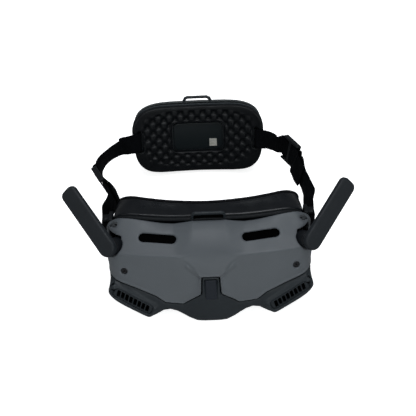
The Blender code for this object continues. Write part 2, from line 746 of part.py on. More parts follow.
def make_eyepieces():
    upper, lower = RAIL_UPPER, RAIL_LOWER
    cylinder("guide_rail_upper", (-56.5, *upper), (56.5, *upper), RAIL_RADIUS, "steel", 16)
    cylinder("guide_rail_lower", (-50, *lower), (50, *lower), RAIL_RADIUS, "steel", 16)
    for side, sign in sides():
        x = EYE_X * sign
        at = along_y(x, EYE_Z)
        body = cylinder(f"optics_carriage_{side}", (x, BARREL_FRONT, EYE_Z),
                        (x, BARREL_REAR, EYE_Z), BARREL_RADIUS, "housing_black", 28)
        joined(body, [
            block("rail_block", (x - 9, upper[0] - 4, EYE_Z + 10), (x + 9, upper[0] + 4, 62)),
            block("rail_block", (x - 9, lower[0] - 4, 16.3), (x + 9, lower[0] + 3.6, EYE_Z - 10)),
            cylinder("knob_boss", (x, KNOB_Y, 16), (x, KNOB_Y, EYE_Z - 10), 5, sides=24),
        ])
        cut(body, [
            cylinder("bore", (x, BARREL_FRONT + 2, EYE_Z), (x, 40, EYE_Z), 14.8, sides=28),
            cylinder("rail_bore", (x - 30, *upper), (x + 30, *upper), RAIL_RADIUS + 0.3, sides=20),
            cylinder("rail_bore", (x - 30, *lower), (x + 30, *lower), RAIL_RADIUS + 0.3, sides=20),
            cylinder("shaft_bore", (x, KNOB_Y, 10), (x, KNOB_Y, 20), 2.3, sides=20),
        ])
        turned(f"diopter_knob_{side}", [
            (6.4, 6.2), (7.6, 7.0), (7.9, 8), (7.9, 15.2), (2.0, 15.5), (2.0, 19.4),
        ], Matrix.Translation((x, KNOB_Y, 0)), "rubber_black", 24)
        mark = block("mark", (x - 0.5, KNOB_Y - 10, 4), (x + 0.5, KNOB_Y - 4, 7.0))
        combine(bpy.data.objects[f"diopter_knob_{side}"], mark)
        turned(f"lens_{side}", [
            (14.4, 6.6), (14.4, 8.4), (11, 9.7), (6, 10.5), (1, 10.7),
        ], at, "glass", 20)
        tube(f"lens_ring_{side}", 16.8, 14.9, BARREL_REAR + GAP, BARREL_REAR + 2, at,
             "rubber_black", 24)
        block(f"display_{side}", (x - 11, BARREL_FRONT + 2.3, EYE_Z - 8),
              (x + 11, BARREL_FRONT + 3.8, EYE_Z + 8), "glass")


def make_cooling():
    at = along_y(0, FAN_Z)
    square = rounded(FAN_SIZE, FAN_SIZE, 2, 3)
    circle = [(FAN_BORE * math.cos(math.tau * i / 32), FAN_BORE * math.sin(math.tau * i / 32))
              for i in range(32)]
    deep, middle = FAN_REAR - FAN_FRONT, (FAN_REAR + FAN_FRONT) / 2
    frame = plate("fan_frame", [square, circle], deep, at @ Matrix.Translation((0, 0, middle)),
                  "housing_black")
    spider = cylinder("spider", (0, FAN_REAR - 1.3, FAN_Z), (0, FAN_REAR - 0.1, FAN_Z), 4.5, sides=20)
    for turn in (45, 135):
        arm = block("arm", (-13, FAN_REAR - 1.2, -0.9), (13, FAN_REAR - 0.2, 0.9))
        place(arm, Matrix.Translation((0, 0, FAN_Z)) @ Matrix.Rotation(math.radians(turn), 4, "Y"))
        combine(spider, arm, "UNION")
    combine(frame, spider, "UNION")
    rotor = cylinder("fan_impeller", (0, FAN_FRONT + 0.3, FAN_Z), (0, FAN_REAR - 1.6, FAN_Z), 5,
                     "rubber_black", 24)
    for i in range(9):
        blade = block("blade", (2, FAN_FRONT + 0.6, -0.35), (10.8, FAN_REAR - 1.9, 0.35))
        turn = Matrix.Rotation(math.tau * i / 9, 4, "Y")
        place(blade, Matrix.Translation((0, 0, FAN_Z)) @ turn)
        combine(rotor, blade, "UNION")
    block("mainboard", (-50, BOARD_FRONT, 16), (50, BOARD_FRONT + 1.4, 50), "board_green")
    sink = block("heat_sink", (17, -28.6, 19), (42.5, BOARD_FRONT - GAP, 40), "aluminium")
    for i in range(7):
        fin = block("fin", (17.5 + 3.9 * i, -31.4, 19.5), (18.7 + 3.9 * i, -28, 39.5))
        combine(sink, fin, "UNION")


def make_antennas():
    for side, sign in sides():
        axis, out, up = hinge_axes(sign)
        pivot = flip(PIVOT, sign)
        frame = axes(pivot, axis.cross(up) * -1, up, axis)
        spread = SPREAD[side]
        point_to = up * math.cos(spread) + out * math.sin(spread)
        blade_at = axes(pivot, point_to, axis.cross(point_to), axis)
        half, radius = BLADE_WIDTH / 2, 4.5
        outline = [
            (-half * math.sin(math.pi * i / 12), half * math.cos(math.pi * i / 12))
            for i in range(13)
        ]
        for corner, start in (((BLADE_LENGTH - radius, -half + radius), -90),
                              ((BLADE_LENGTH - radius, half - radius), 0)):
            for i in range(6):
                angle = math.radians(start + 18 * i)
                outline.append((corner[0] + radius * math.cos(angle),
                                corner[1] + radius * math.sin(angle)))
        low, high = HINGE_FACE + GAP, HINGE_FACE + GAP + BLADE_THICK
        blade = plate(f"antenna_{side}", [outline], BLADE_THICK,
                      blade_at @ Matrix.Translation((0, 0, (low + high) / 2)), "rubber_black")
        bevel(blade, 1.3, 2)
        combine(blade, cylinder("pin_bore", pivot, pivot + axis * (high - 1.5),
                                PIN_RADIUS + 0.3, sides=20))
        base = turned(f"antenna_base_{side}", [
            (HINGE_RADIUS, -HINGE_DEPTH), (HINGE_RADIUS, HINGE_FACE - 0.8),
            (HINGE_RADIUS - 0.8, HINGE_FACE),
        ], frame, "rubber_black", 32)
        combine(base, cylinder("pin_bore", pivot - axis * 7, pivot + axis * 10,
                               PIN_RADIUS + 0.3, sides=20))
        cylinder(f"hinge_pin_{side}", pivot - axis * 6.7, pivot + axis * (high - 1.9),
                 PIN_RADIUS, "steel", 20)


def make_anchors():
    x, y = ANCHOR_BAR
    for side, sign in sides():
        def span(low, high):
            return sorted((low * sign, high * sign))
        a, b = span(82.15, 84.4)
        base = block(f"strap_anchor_{side}", (a, 10.5, ANCHOR_Z - 14), (b, 22, ANCHOR_Z + 14),
                     "housing_black")
        a, b = span(83, 91)
        arms = [
            block("arm", (a, 11.4, ANCHOR_Z + 11.6), (b, 18.5, ANCHOR_Z + 14)),
            block("arm", (a, 11.4, ANCHOR_Z - 14), (b, 18.5, ANCHOR_Z - 11.6)),
        ]
        bar = cylinder("bar", (x * sign, y, ANCHOR_Z - 12.5), (x * sign, y, ANCHOR_Z + 12.5), 1.8,
                       sides=16)
        joined(base, [*arms, bar])


def make_top_loop():
    lean = front_view(5.2) @ Matrix.Translation((0, 75.95, 0))
    plate("top_strap_loop", [rounded(26, 7.6, 2.6), pill(18, 2.6, 6)], 2.6, lean, "housing_black")


def make_ports(lower):
    """A flat socket in the left side wall and a round one in the right side wall."""
    y, z, x = -16, 34.4, 82
    side_view = axes(Vector((x, y, z)), Vector((0, 1, 0)), UP, Vector((1, 0, 0)))
    inwards = side_view @ Matrix.Translation((0, 0, -2.6))
    combine(lower, plate("socket_hole", [pill(9.7, 3.9, 6)], 12, side_view))
    shell = plate("usb_socket", [pill(9, 3.2, 6)], 6, inwards, "steel")
    combine(shell, plate("mouth", [pill(7.8, 2, 6)], 6, inwards @ Matrix.Translation((0, 0, 1.2))))
    combine(lower, cylinder("socket_hole", (-x - 6, y, z), (-x + 6, y, z), 2.55, sides=24))
    shell = cylinder("audio_socket", (-x - 0.4, y, z), (-x + 5.6, y, z), 2.2, "steel", 24)
    combine(shell, cylinder("mouth", (-x - 3, y, z), (-x + 4.4, y, z), 1.6, sides=24))


# ---------------------------------------------------------------- strap

BATTERY = Matrix.Translation(BATTERY_AT) @ Matrix.Rotation(-BATTERY_LEAN, 4, "X")


def bend(x):
    return -BATTERY_BEND * (x / BATTERY_HALF) ** 2


def strap_path(sign, line):
    """Where a strap runs, from the side of the goggles round its anchor bar to the battery."""
    x, y = ANCHOR_BAR
    reach = 1.8 + GAP + STRAP_THICK / 2
    turn = [
        Vector((x - reach, y + 12, ANCHOR_Z)), Vector((x - reach, y + 5, ANCHOR_Z)),
    ]
    for i in range(9):
        angle = math.radians(180 + 180 * i / 8)
        turn.append(Vector((x + reach * math.cos(angle), y + reach * math.sin(angle), ANCHOR_Z)))
    turn.append(Vector((x + reach, y + 5, ANCHOR_Z)))
    turn = [Vector((p.x * sign, p.y, p.z)) for p in turn]
    widths = [UP.copy() for _ in turn]
    ends = [
        BATTERY @ Vector((x * sign, bend(x) + y, STRAP_SLOT[1]))
        for x, y in ((67, -3.2), (61.5, -2.2), (56.6, -1.2), (55.5, 2.2), (55.5, 5.4))
    ]
    knots = [turn[-1]] + [Vector(point[:3]) for point in line] + ends
    leans = [0] + [point[3] for point in line] + [0] * len(ends)
    tips = [0] + [point[4] for point in line] + [math.degrees(BATTERY_LEAN)] * len(ends)
    run = smooth(knots, 4)[1:]
    for i in range(len(run)):
        at = (i + 1) / 4
        low = min(int(at), len(leans) - 2)
        share = at - low
        lean = math.radians(leans[low] + (leans[low + 1] - leans[low]) * share)
        tip = math.radians(tips[low] + (tips[low + 1] - tips[low]) * share)
        widths.append(Vector((math.sin(lean) * sign, math.sin(tip), math.cos(lean))))
    return turn + run, widths


def make_strap():
    for side, sign in sides():
        path, widths = strap_path(sign, STRAP_LINES[side])
        at = SLIDER_AT[side]
        centre = path[at].copy()
        along = (path[at + 1] - path[at - 1]).normalized()
        across = (widths[at] - along * widths[at].dot(along)).normalized()
        for i in range(at - 6, at + 7):
            path[i] = centre + along * (path[i] - centre).dot(along)
            widths[i] = across
        strip(f"strap_{side}", path, widths, STRAP_WIDTH, STRAP_THICK, "webbing_black")
        frame = axes(centre, across, along, across.cross(along))
        lift = STRAP_THICK / 2 + GAP
        half, deep = STRAP_WIDTH / 2 + 2.8, lift + 1.6
        rails = [
            block("rail", (min(a, b), -SLIDER_LENGTH / 2, -deep),
                  (max(a, b), SLIDER_LENGTH / 2, deep))
            for a, b in ((half, half - 2.2), (-half, -half + 2.2))
        ]
        slider = block(f"strap_slider_{side}", (1 - half, -1.6, lift), (half - 1, 1.6, deep - 0.1),
                       "housing_black")
        reach = SLIDER_LENGTH / 2
        bars = [
            block("bar", (1 - half, min(a, b), -deep + 0.1), (half - 1, max(a, b), -lift))
            for a, b in ((reach - 0.1, reach - 3), (3 - reach, 0.1 - reach))
        ]
        joined(slider, rails + bars)
        place(slider, frame)


# ---------------------------------------------------------------- battery

STATIONS = [-65, -64.2, -62, -58, -52.5, -46, -38, -29, -20, -10, 0]
STATIONS += [-x for x in reversed(STATIONS[:-1])]


def face_limits(x, distance):
    """Lowest and highest point of the battery's outline at x, drawn in by a distance."""
    outline = inset(mirrored(BATTERY_FACE), distance)
    heights = []
    for a, b in zip(outline, outline[1:] + outline[:1]):
        if min(a[0], b[0]) <= x <= max(a[0], b[0]) and abs(a[0] - b[0]) > 1e-6:
            heights.append(a[1] + (b[1] - a[1]) * (x - a[0]) / (b[0] - a[0]))
    if not heights:
        heights = [30, 46]
    low, high = min(heights), max(heights)
    return (low, high) if high - low > 8 else ((low + high) / 2 - 4, (low + high) / 2 + 4)


def battery_layer(name, section, distance, material=None):
    """A piece of the battery: section(x, low, high) gives its (y, z) outline at each x."""
    sections = []
    limit = BATTERY_HALF - distance
    for x in STATIONS:
        x = x * limit / BATTERY_HALF
        low, high = face_limits(x, distance)
        sections.append([
            BATTERY @ Vector((x, y + bend(x), z)) for y, z in section(x, low, high)
        ])
    return loft(name, sections, material)


def slab(front, back):
    return lambda x, low, high: [(front, low), (back, low), (back, high), (front, high)]


def back_section(front, full, drop):
    """The battery's rounded back, from its front plane to its full depth."""
    def section(x, low, high):
        deep = full - drop * (x / BATTERY_HALF) ** 4 * 8
        height = high - low
        return [
            (front, low), (front + (deep - front) * 0.05, low),
            (front + (deep - front) * 0.45, low + height * 0.03),
            (front + (deep - front) * 0.85, low + height * 0.13),
            (deep, low + height * 0.27), (deep, high - height * 0.27),
            (front + (deep - front) * 0.85, high - height * 0.12),
            (front + (deep - front) * 0.45, high - height * 0.03),
            (front + (deep - front) * 0.05, high), (front, high),
        ]
    return section


def pad_bumps():
    """Points of the staggered bumps on the pad's face, (x, z)."""
    points = []
    for row in range(-6, 7):
        for column in range(-13, 14):
            x = column * 5.8
            z = 38 + row * 5.8
            if (row + column) % 2:
                continue
            low, high = face_limits(x, 9)
            if abs(x) > BATTERY_HALF - 10 or not low + 1 < z < high - 1:
                continue
            if WINDOW[0] - 4.5 < x < WINDOW[1] + 4.5 and WINDOW[2] - 4.5 < z < WINDOW[3] + 4.5:
                continue
            points.append((x, z))
    return points


def make_battery():
    pad = battery_layer("battery_pad", slab(0, PAD_THICK), 0.6, "foam_black")
    x0, x1, z0, z1 = WINDOW
    flat = axes(Vector((0, 0, 0)), Vector((1, 0, 0)), UP, Vector((0, -1, 0)))
    hole = rounded(x1 - x0, z1 - z0, 5, 4, ((x0 + x1) / 2, (z0 + z1) / 2))
    combine(pad, plate("window", [hole], 40, BATTERY @ flat))
    bumps = None
    for x, z in pad_bumps():
        at = BATTERY @ Matrix.Translation((x, bend(x), z)) @ Matrix.Rotation(
            math.radians(90), 4, "X")
        bump = turned("bump", [(2.6, -1.4), (1.3, 1.9)], at, None, 6)
        if bumps is None:
            bumps = bump
        else:
            work = bmesh.new()
            work.from_mesh(bumps.data)
            work.from_mesh(bump.data)
            work.to_mesh(bumps.data)
            work.free()
            bpy.data.objects.remove(bump)
    combine(pad, bumps, "UNION")
    battery_layer("battery_inner_shell", slab(PAD_THICK + GAP, 9.0), 0.6, "housing_black")
    back = battery_layer("battery_back_shell", back_section(9.35, 30, 1), 0, "housing_black")
    hollow = battery_layer("hollow", back_section(8.0, 28, 1), 2.2)
    combine(back, hollow)
    for sign in (1, -1):
        slot = plate("strap_slot", [
            rounded(3.8, STRAP_WIDTH + 1.4, 1.5, 3, (STRAP_SLOT[0] * sign, STRAP_SLOT[1])),
        ], 60, BATTERY @ flat)
        cut(pad, [slot])
    for name, z in (("battery_cell_upper", 49), ("battery_cell_lower", 33)):
        at = BATTERY @ Matrix.Translation((0, 9 + GAP + 7, z))
        cylinder(name, at @ Vector((-25, 0, 0)), at @ Vector((25, 0, 0)), 7, "cell_wrap", 24)
    plate("battery_board", [rounded(52, 12, 1, 2, (0, 17))], 1.4,
          BATTERY @ Matrix.Translation((0, 10.05, 0)) @ flat, "board_green")
    plate("battery_window", [rounded(50.5, 28.5, 4.4, 4, (0, 35.2))], 1.2,
          BATTERY @ Matrix.Translation((0, 3.9, 0)) @ flat, "glass")
    plate("battery_label", [rounded(8.4, 8.4, 0.6, 2, (15, 28.6))], 0.3,
          BATTERY @ Matrix.Translation((0, 2.85, 0)) @ flat, "label_grey")
    loop_at = BATTERY @ Matrix.Translation((0, 10.6, 74.4)) @ flat
    plate("battery_top_loop", [rounded(30, 6.0, 2.6, 4), pill(25.4, 1.9, 6)], 2.4, loop_at,
          "housing_black")
    make_battery_button(back)


def make_battery_button(back):
    at = BATTERY @ axes(Vector((0, 0, 38)), Vector((1, 0, 0)), Vector((0, 0, -1)),
                        Vector((0, 1, 0)))
    combine(back, turned("button_hole", [(4.4, 20), (4.4, 40)], at, None, 28))
    turned("power_button", [(5.6, 26.4), (5.6, 27.5), (4.0, 27.6), (4.0, 30.4), (3.5, 30.8)], at,
           "rubber_black", 28)
    lights = axes(Vector((0, 0, 52)), Vector((1, 0, 0)), UP, Vector((0, -1, 0)))
    combine(back, plate("light_hole", [pill(14.7, 2.7)], 40,
                        BATTERY @ Matrix.Translation((0, 45, 0)) @ lights))
    plate("charge_lights", [pill(14, 2)], 1.8, BATTERY @ Matrix.Translation((0, 29, 0)) @ lights,
          "light_pipe")


def main():
    cover, lower = make_casing()
    make_cover_details(cover)
    make_lower_details(lower)
    make_board_bosses(cover, lower)
    make_nose_trim(lower)
    make_ports(lower)
    make_rear_housing()
    make_face_parts()
    make_lens_panel()
    make_eyepieces()
    make_cooling()
    make_antennas()
    make_anchors()
    make_top_loop()
    make_strap()
    make_battery()


main()
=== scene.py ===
"""Looks of the video goggles. Sizes are in millimetres until a mesh is made.

The rounded shells are grown from distance fields: each is a function of x, y and z that is
negative inside the piece, and its zero surface is turned into a mesh on a fine grid.
"""

import math

import bmesh
import bpy
import numpy as np
from mathutils import Matrix, Vector


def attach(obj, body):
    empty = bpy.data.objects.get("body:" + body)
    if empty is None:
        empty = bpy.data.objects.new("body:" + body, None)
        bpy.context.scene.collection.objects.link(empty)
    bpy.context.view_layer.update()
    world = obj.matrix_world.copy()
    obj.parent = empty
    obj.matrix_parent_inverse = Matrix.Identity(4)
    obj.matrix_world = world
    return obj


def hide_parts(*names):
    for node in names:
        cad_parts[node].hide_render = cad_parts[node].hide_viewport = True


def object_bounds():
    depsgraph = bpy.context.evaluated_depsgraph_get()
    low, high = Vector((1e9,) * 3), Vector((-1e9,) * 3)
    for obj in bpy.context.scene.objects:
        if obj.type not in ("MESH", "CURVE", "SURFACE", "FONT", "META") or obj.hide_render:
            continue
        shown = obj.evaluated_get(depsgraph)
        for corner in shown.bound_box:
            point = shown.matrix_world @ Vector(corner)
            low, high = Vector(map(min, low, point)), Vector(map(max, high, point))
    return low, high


MM = 0.001
FINE = 1.0  # grids are coarser while trying things
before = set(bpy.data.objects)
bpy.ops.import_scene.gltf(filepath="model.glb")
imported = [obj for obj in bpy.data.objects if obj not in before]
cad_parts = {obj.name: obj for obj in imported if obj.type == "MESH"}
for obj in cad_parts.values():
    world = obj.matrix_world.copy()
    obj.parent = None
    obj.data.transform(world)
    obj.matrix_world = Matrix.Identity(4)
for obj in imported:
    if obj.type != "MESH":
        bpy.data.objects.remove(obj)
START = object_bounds()
SIDEWAYS, BACK, UP = Vector((1, 0, 0)), Vector((0, 1, 0)), Vector((0, 0, 1))
HERE = Matrix.Identity(4)
shift = Matrix.Translation


# ---------------- distance fields

def smax(a, b, k):
    """The larger of two fields, with the corner between them rounded over k."""
    h = np.clip(k - np.abs(a - b), 0, None) / k
    return np.maximum(a, b) + h * h * k / 4


def smin(a, b, k):
    return -smax(-a, -b, k)


def step(low, high, t):
    """From 0 at the first value to 1 at the second, smoothly."""
    t = np.clip((t - low) / (high - low), 0, 1)
    return t * t * (3 - 2 * t)


def into(matrix, x, y, z):
    """Coordinates of the points in a frame."""
    m = np.array(matrix.inverted(), dtype=np.float32)
    return tuple(m[i, 0] * x + m[i, 1] * y + m[i, 2] * z + m[i, 3] for i in range(3))


def polygon(points, u, v):
    """Signed distance to a closed outline in a plane, negative inside."""
    best, inside = None, None
    for (ax, ay), (bx, by) in zip(points, points[1:] + points[:1]):
        ex, ey = bx - ax, by - ay
        wx, wy = u - ax, v - ay
        t = np.clip((wx * ex + wy * ey) / max(ex * ex + ey * ey, 1e-9), 0, 1)
        d = (wx - ex * t) ** 2 + (wy - ey * t) ** 2
        best = d if best is None else np.minimum(best, d)
        if abs(ey) > 1e-9:
            crossed = ((ay > v) != (by > v)) & (u < ex * (v - ay) / ey + ax)
            inside = crossed if inside is None else inside ^ crossed
    return np.sqrt(best) * np.where(inside, -1, 1)


def between(a, b, c, d, t):
    """The point at t between b and c on a smooth curve through four points."""
    return 0.5 * (2 * b + (c - a) * t + (2 * a - 5 * b + 4 * c - d) * t ** 2
                  + (3 * b - a - 3 * c + d) * t ** 3)


def smooth_line(points, per, closed=False):
    """An outline through the given points, rounded with a Catmull-Rom curve."""
    pts = [np.array(p, float) for p in points]
    if closed:
        line = [pts[-1], *pts, pts[0], pts[1]]
    else:
        line = [2 * pts[0] - pts[1], *pts, 2 * pts[-1] - pts[-2]]
    out = []
    for a, b, c, d in zip(line, line[1:], line[2:], line[3:]):
        out += [between(a, b, c, d, i / per) for i in range(per)]
    if not closed:
        out.append(pts[-1])
    return [tuple(p) for p in out]


def mirrored(half):
    """A closed outline from its half on the side of positive x."""
    return half + [(-x, z) for x, z in reversed(half) if x > 1e-6]


def framed(matrix, shape):
    """A field that is given in a frame's own coordinates."""
    return lambda x, y, z: shape(*into(matrix, x, y, z))


def capsule(a, b, r):
    """A round bar with round ends."""
    a, b = np.array(a, float), np.array(b, float)
    d = b - a
    length = float(d @ d)

    def field(*point):
        apart = [p - q for p, q in zip(point, a)]
        t = np.clip(sum(p * q for p, q in zip(apart, d)) / length, 0, 1)
        return np.sqrt(sum((p - q * t) ** 2 for p, q in zip(apart, d))) - r
    return field


def box(matrix, half, r):
    """A box in the frame's middle, given by its half sizes, with rounded edges."""
    def field(x, y, z):
        q = [np.abs(p) - h + r for p, h in zip(into(matrix, x, y, z), half)]
        out = np.sqrt(sum(np.maximum(p, 0) ** 2 for p in q))
        return out + np.minimum(np.maximum(np.maximum(q[0], q[1]), q[2]), 0) - r
    return field


def plate(edge, w, low, high, r):
    """A flat shape's edge distance made into a plate from low to high, with rounded edges."""
    a, b = edge + r, np.abs(w - (low + high) / 2) - (high - low) / 2 + r
    outside = np.sqrt(np.maximum(a, 0) ** 2 + np.maximum(b, 0) ** 2)
    return outside + np.minimum(np.maximum(a, b), 0) - r


def bar(x, y, z, r, sign=1):
    """A box between two values on each axis, mirrored in x if sign is -1."""
    ends = ((x[0] * sign, x[1] * sign), y, z)
    return box(shift([(a + b) / 2 for a, b in ends]), [abs(b - a) / 2 for a, b in ends], r)


def disc(matrix, radius, low, high, r):
    """A round bar along the frame's z, from low to high, with rounded edges."""
    return framed(matrix, lambda u, v, w: plate(np.sqrt(u * u + v * v) - radius, w, low, high, r))


def prism(matrix, points, low, high, r):
    """A flat outline in the frame's xy plane, from low to high along z, with rounded edges."""
    return framed(matrix, lambda u, v, w: plate(polygon(points, u, v), w, low, high, r))


def arc(x, y, r, start, sweep, n):
    """Points along an arc; the angles are in degrees."""
    turns = [math.radians(start + sweep * i / n) for i in range(n + 1)]
    return [(x + r * math.cos(a), y + r * math.sin(a)) for a in turns]


def pill(length, width, n=10):
    """A long hole's outline."""
    r, s = width / 2, length / 2 - width / 2
    return arc(s, 0, r, -90, 180, n) + arc(-s, 0, r, 90, 180, n)


def rounded(w, h, r, centre=(0, 0), n=6):
    """A rectangle's outline with rounded corners."""
    x, y, dx, dy = *centre, w / 2 - r, h / 2 - r
    corners = ((dx, dy), (-dx, dy), (-dx, -dy), (dx, -dy))
    return [p for i, (u, v) in enumerate(corners) for p in arc(x + u, y + v, r, 90 * i, 90, n)]


class Block:
    """A field sampled on a grid of points."""

    def __init__(self, low, high, size, shape=None):
        size *= FINE
        self.low, self.size = np.array(low, float), size
        count = [int(math.ceil((h - a) / size)) + 1 for a, h in zip(low, high)]
        x, y, z = (a + size * np.arange(n, dtype=np.float32) for a, n in zip(low, count))
        self.grid = x[:, None, None], y[None, :, None], z[None, None, :]
        self.v = shape and shape(*self.grid)

    def like(self, values):
        """Another block on the same grid."""
        made = Block.__new__(Block)
        made.low, made.size, made.grid, made.v = self.low, self.size, self.grid, values
        return made

    def near(self, centre, reach):
        """The part of the grid round a point, to change only there."""
        cut = []
        for c, r, axis in zip(centre, reach, self.grid):
            where = np.nonzero(np.abs(axis.ravel() - c) <= r)[0]
            if not len(where):
                return None
            cut.append(slice(where[0], where[-1] + 1))
        (x, y, z), (a, b, c) = self.grid, cut
        return (a, b, c), x[a], y[:, b], z[:, :, c]

    def add(self, shape, k, centre=None, reach=None):
        self._change(shape, k, centre, reach, smin, 1)

    def cut(self, shape, k, centre=None, reach=None):
        self._change(shape, k, centre, reach, smax, -1)

    def _change(self, shape, k, centre, reach, mix, sign):
        if centre is None:
            self.v = mix(self.v, sign * shape(*self.grid), k)
            return
        if not hasattr(reach, "__len__"):
            reach = (reach,) * 3
        part = self.near(centre, reach)
        if part:
            s, x, y, z = part
            self.v[s] = mix(self.v[s], sign * shape(x, y, z), k).astype(np.float32)


def skin(block):
    """The zero surface of a block: points and quads, one point in each cell it passes through."""
    v = block.v.astype(np.float32)
    for i in range(3):  # closed at the grid's border
        edge = [slice(None)] * 3
        for end in (0, -1):
            edge[i] = end
            v[tuple(edge)] = np.maximum(v[tuple(edge)], 0.01)
    inside = v < 0
    total = np.zeros([n - 1 for n in v.shape], np.int8)
    corners = [(i, j, k) for i in (0, 1) for j in (0, 1) for k in (0, 1)]

    def shifted(array, c):
        return array[tuple(slice(c[i], array.shape[i] - 1 + c[i]) for i in range(3))]

    for c in corners:
        total += shifted(inside, c)
    cells = np.argwhere((total > 0) & (total < 8))
    number = np.full(total.shape, -1, np.int32)
    number[tuple(cells.T)] = np.arange(len(cells))
    place = np.zeros((len(cells), 3))
    hits = np.zeros(len(cells))
    for axis in range(3):
        for c in corners:
            if c[axis]:
                continue
            far = list(c)
            far[axis] = 1
            a = v[tuple((cells + c).T)].astype(float)
            b = v[tuple((cells + far).T)].astype(float)
            crossed = (a < 0) != (b < 0)
            t = np.where(crossed, a / np.where(crossed, a - b, 1), 0)
            point = np.array(c, float)[None, :].repeat(len(cells), 0)
            point[:, axis] += t
            place += point * crossed[:, None]
            hits += crossed
    place = place / hits[:, None] + cells
    quads = []
    for axis in range(3):
        first, second = [i for i in range(3) if i != axis]
        low = [slice(1, -1)] * 3
        low[axis] = slice(0, -1)
        high = list(low)
        high[axis] = slice(1, None)
        a, b = inside[tuple(low)], inside[tuple(high)]
        for where, turned in ((a & ~b, False), (b & ~a, True)):
            e = np.argwhere(where)
            offset = np.array([1, 1, 1])
            offset[axis] = 0
            e = e + offset
            ring = []
            for df, ds in ((-1, -1), (0, -1), (0, 0), (-1, 0)):
                c = e.copy()
                c[:, first] += df
                c[:, second] += ds
                ring.append(number[tuple(c.T)])
            ring = np.stack(ring, 1)
            if turned != (axis == 1):
                ring = ring[:, ::-1]
            quads.append(ring)
    return place * block.size + block.low, np.concatenate(quads)


def linked(name, data):
    """A new object in the scene."""
    obj = bpy.data.objects.new(name, data)
    bpy.context.scene.collection.objects.link(obj)
    return obj


def object_of(name, points, faces):
    """A smooth mesh object from points in millimetres."""
    points = np.asarray(points, np.float32) * MM
    faces = np.asarray(faces, np.int32)
    mesh = bpy.data.meshes.new(name)
    mesh.vertices.add(len(points))
    mesh.vertices.foreach_set("co", points.ravel())
    side = faces.shape[1]
    mesh.loops.add(faces.size)
    mesh.loops.foreach_set("vertex_index", faces.ravel())
    mesh.polygons.add(len(faces))
    mesh.polygons.foreach_set("loop_start", np.arange(0, faces.size, side, dtype=np.int32))
    mesh.polygons.foreach_set("use_smooth", np.full(len(faces), True))
    mesh.update(calc_edges=True)
    return linked(name, mesh)


def tube_faces(n, m, closed):
    """Quads between n rows of m points: round each row, and back to the first row if closed."""
    i, j = np.meshgrid(np.arange(n if closed else n - 1), np.arange(m), indexing="ij")
    a, b = (i + 1) % n, (j + 1) % m
    return np.stack([i * m + j, i * m + b, a * m + b, a * m + j], -1).reshape(-1, 4)


def moved(points, matrix):
    m = np.array(matrix)
    return points @ m[:3, :3].T + m[:3, 3]


def grown(name, block, finish, nodes, place=None, body="goggles"):
    """A piece from a block, put in its place by a matrix or a function."""
    points, quads = skin(block)
    if place is not None:
        points = moved(points, place) if isinstance(place, Matrix) else place(points)
    obj = object_of(name, points, quads)
    return shown(obj, finish, nodes, body)


def shown(obj, finish, nodes, body="goggles"):
    obj.data.materials.append(finish)
    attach(obj, body)
    if nodes:
        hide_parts(*nodes)
    return obj


def axes(origin, x, y, z):
    """A frame from its origin and its axes."""
    matrix = Matrix((x, y, z)).transposed().to_4x4()
    matrix.translation = origin
    return matrix


def along_y(x, z):
    """A frame whose z looks towards the wearer."""
    return axes(Vector((x, 0, z)), SIDEWAYS, -UP, BACK)


def flip(point, sign):
    """A point mirrored in x if sign is -1."""
    return Vector((point[0] * sign, point[1], point[2]))


SIDES = (("left", 1), ("right", -1))


# ---------------- sizes shared with the frame

SAG, SAG_AT = 6, 70
HALF_WIDTH = 86.2
WALL = 2.2
REAR_EDGE = 1
GAP = 0.35
FRONT_OUTLINE = [
    (0, 70), (14, 69.9), (21, 68.2), (30, 66.6), (40, 67), (50, 68.6), (60, 71), (68, 72.8),
    (73, 72.2), (79.5, 68.4), (85, 64.5), (88.6, 60), (88.6, 50), (87.8, 40), (87.6, 34),
    (87.2, 25.5),
    (82.5, 15.5), (68.5, 8.6), (58, 3.4), (53, 2.4), (48, 4.0), (40.5, 9.6), (35, 10.8),
    (29.5, 9.1), (20, 2.9), (13, 0), (0, 0),
]
REAR_OUTLINE = [
    (0, 71.8), (30, 70.6), (62, 70.6), (72, 69.6), (78.5, 66.4), (81.8, 61), (81.8, 48),
    (81.8, 36), (78, 27.5), (68, 16.5), (57, 6.5), (50, 5.5), (41, 12.3), (30, 12.3), (16, 3.5),
    (0, 2.5),
]
SPLIT = [
    (95, 38.5), (80.7, 36), (63, 30.8), (47, 24.6), (39, 18.8), (23.4, 17.8), (8.2, 28.2),
    (7.3, 42.8),
]
RIM = [
    (0, 25.5, 65.6), (30, 27.5, 65.8), (52, 31.5, 65.9), (65.5, 35.5, 65.2), (73, 39.5, 60.8),
    (76.4, 44.5, 53.5), (77, 48.5, 45), (75, 50.5, 36), (70, 49, 27), (62, 46, 18.5), (52, 41.5, 12.5),
    (43, 37, 9.5), (32, 33, 9), (22, 29.5, 12.5), (12, 27, 21), (0, 25.5, 31),
]
PIVOT = (82.0, -17.0, 60.0)
HINGE_TURN, HINGE_TILT = math.radians(35), math.radians(30)
SPREAD = {"left": math.radians(60), "right": math.radians(59)}
BLADE_SHIFT = {"left": 0.0, "right": 1.4}
BLADE_LENGTH, BLADE_WIDTH, BLADE_THICK = 60.5, 16.8, 5.6
HINGE_RADIUS, HINGE_FACE, HINGE_DEPTH = 7.3, 3.0, 9.0
EYE_X, EYE_Z, KNOB_Y = 32, 38, -9
FLAT_FRONT = axes(Vector(), SIDEWAYS, UP, -BACK)  # y up, z towards the front


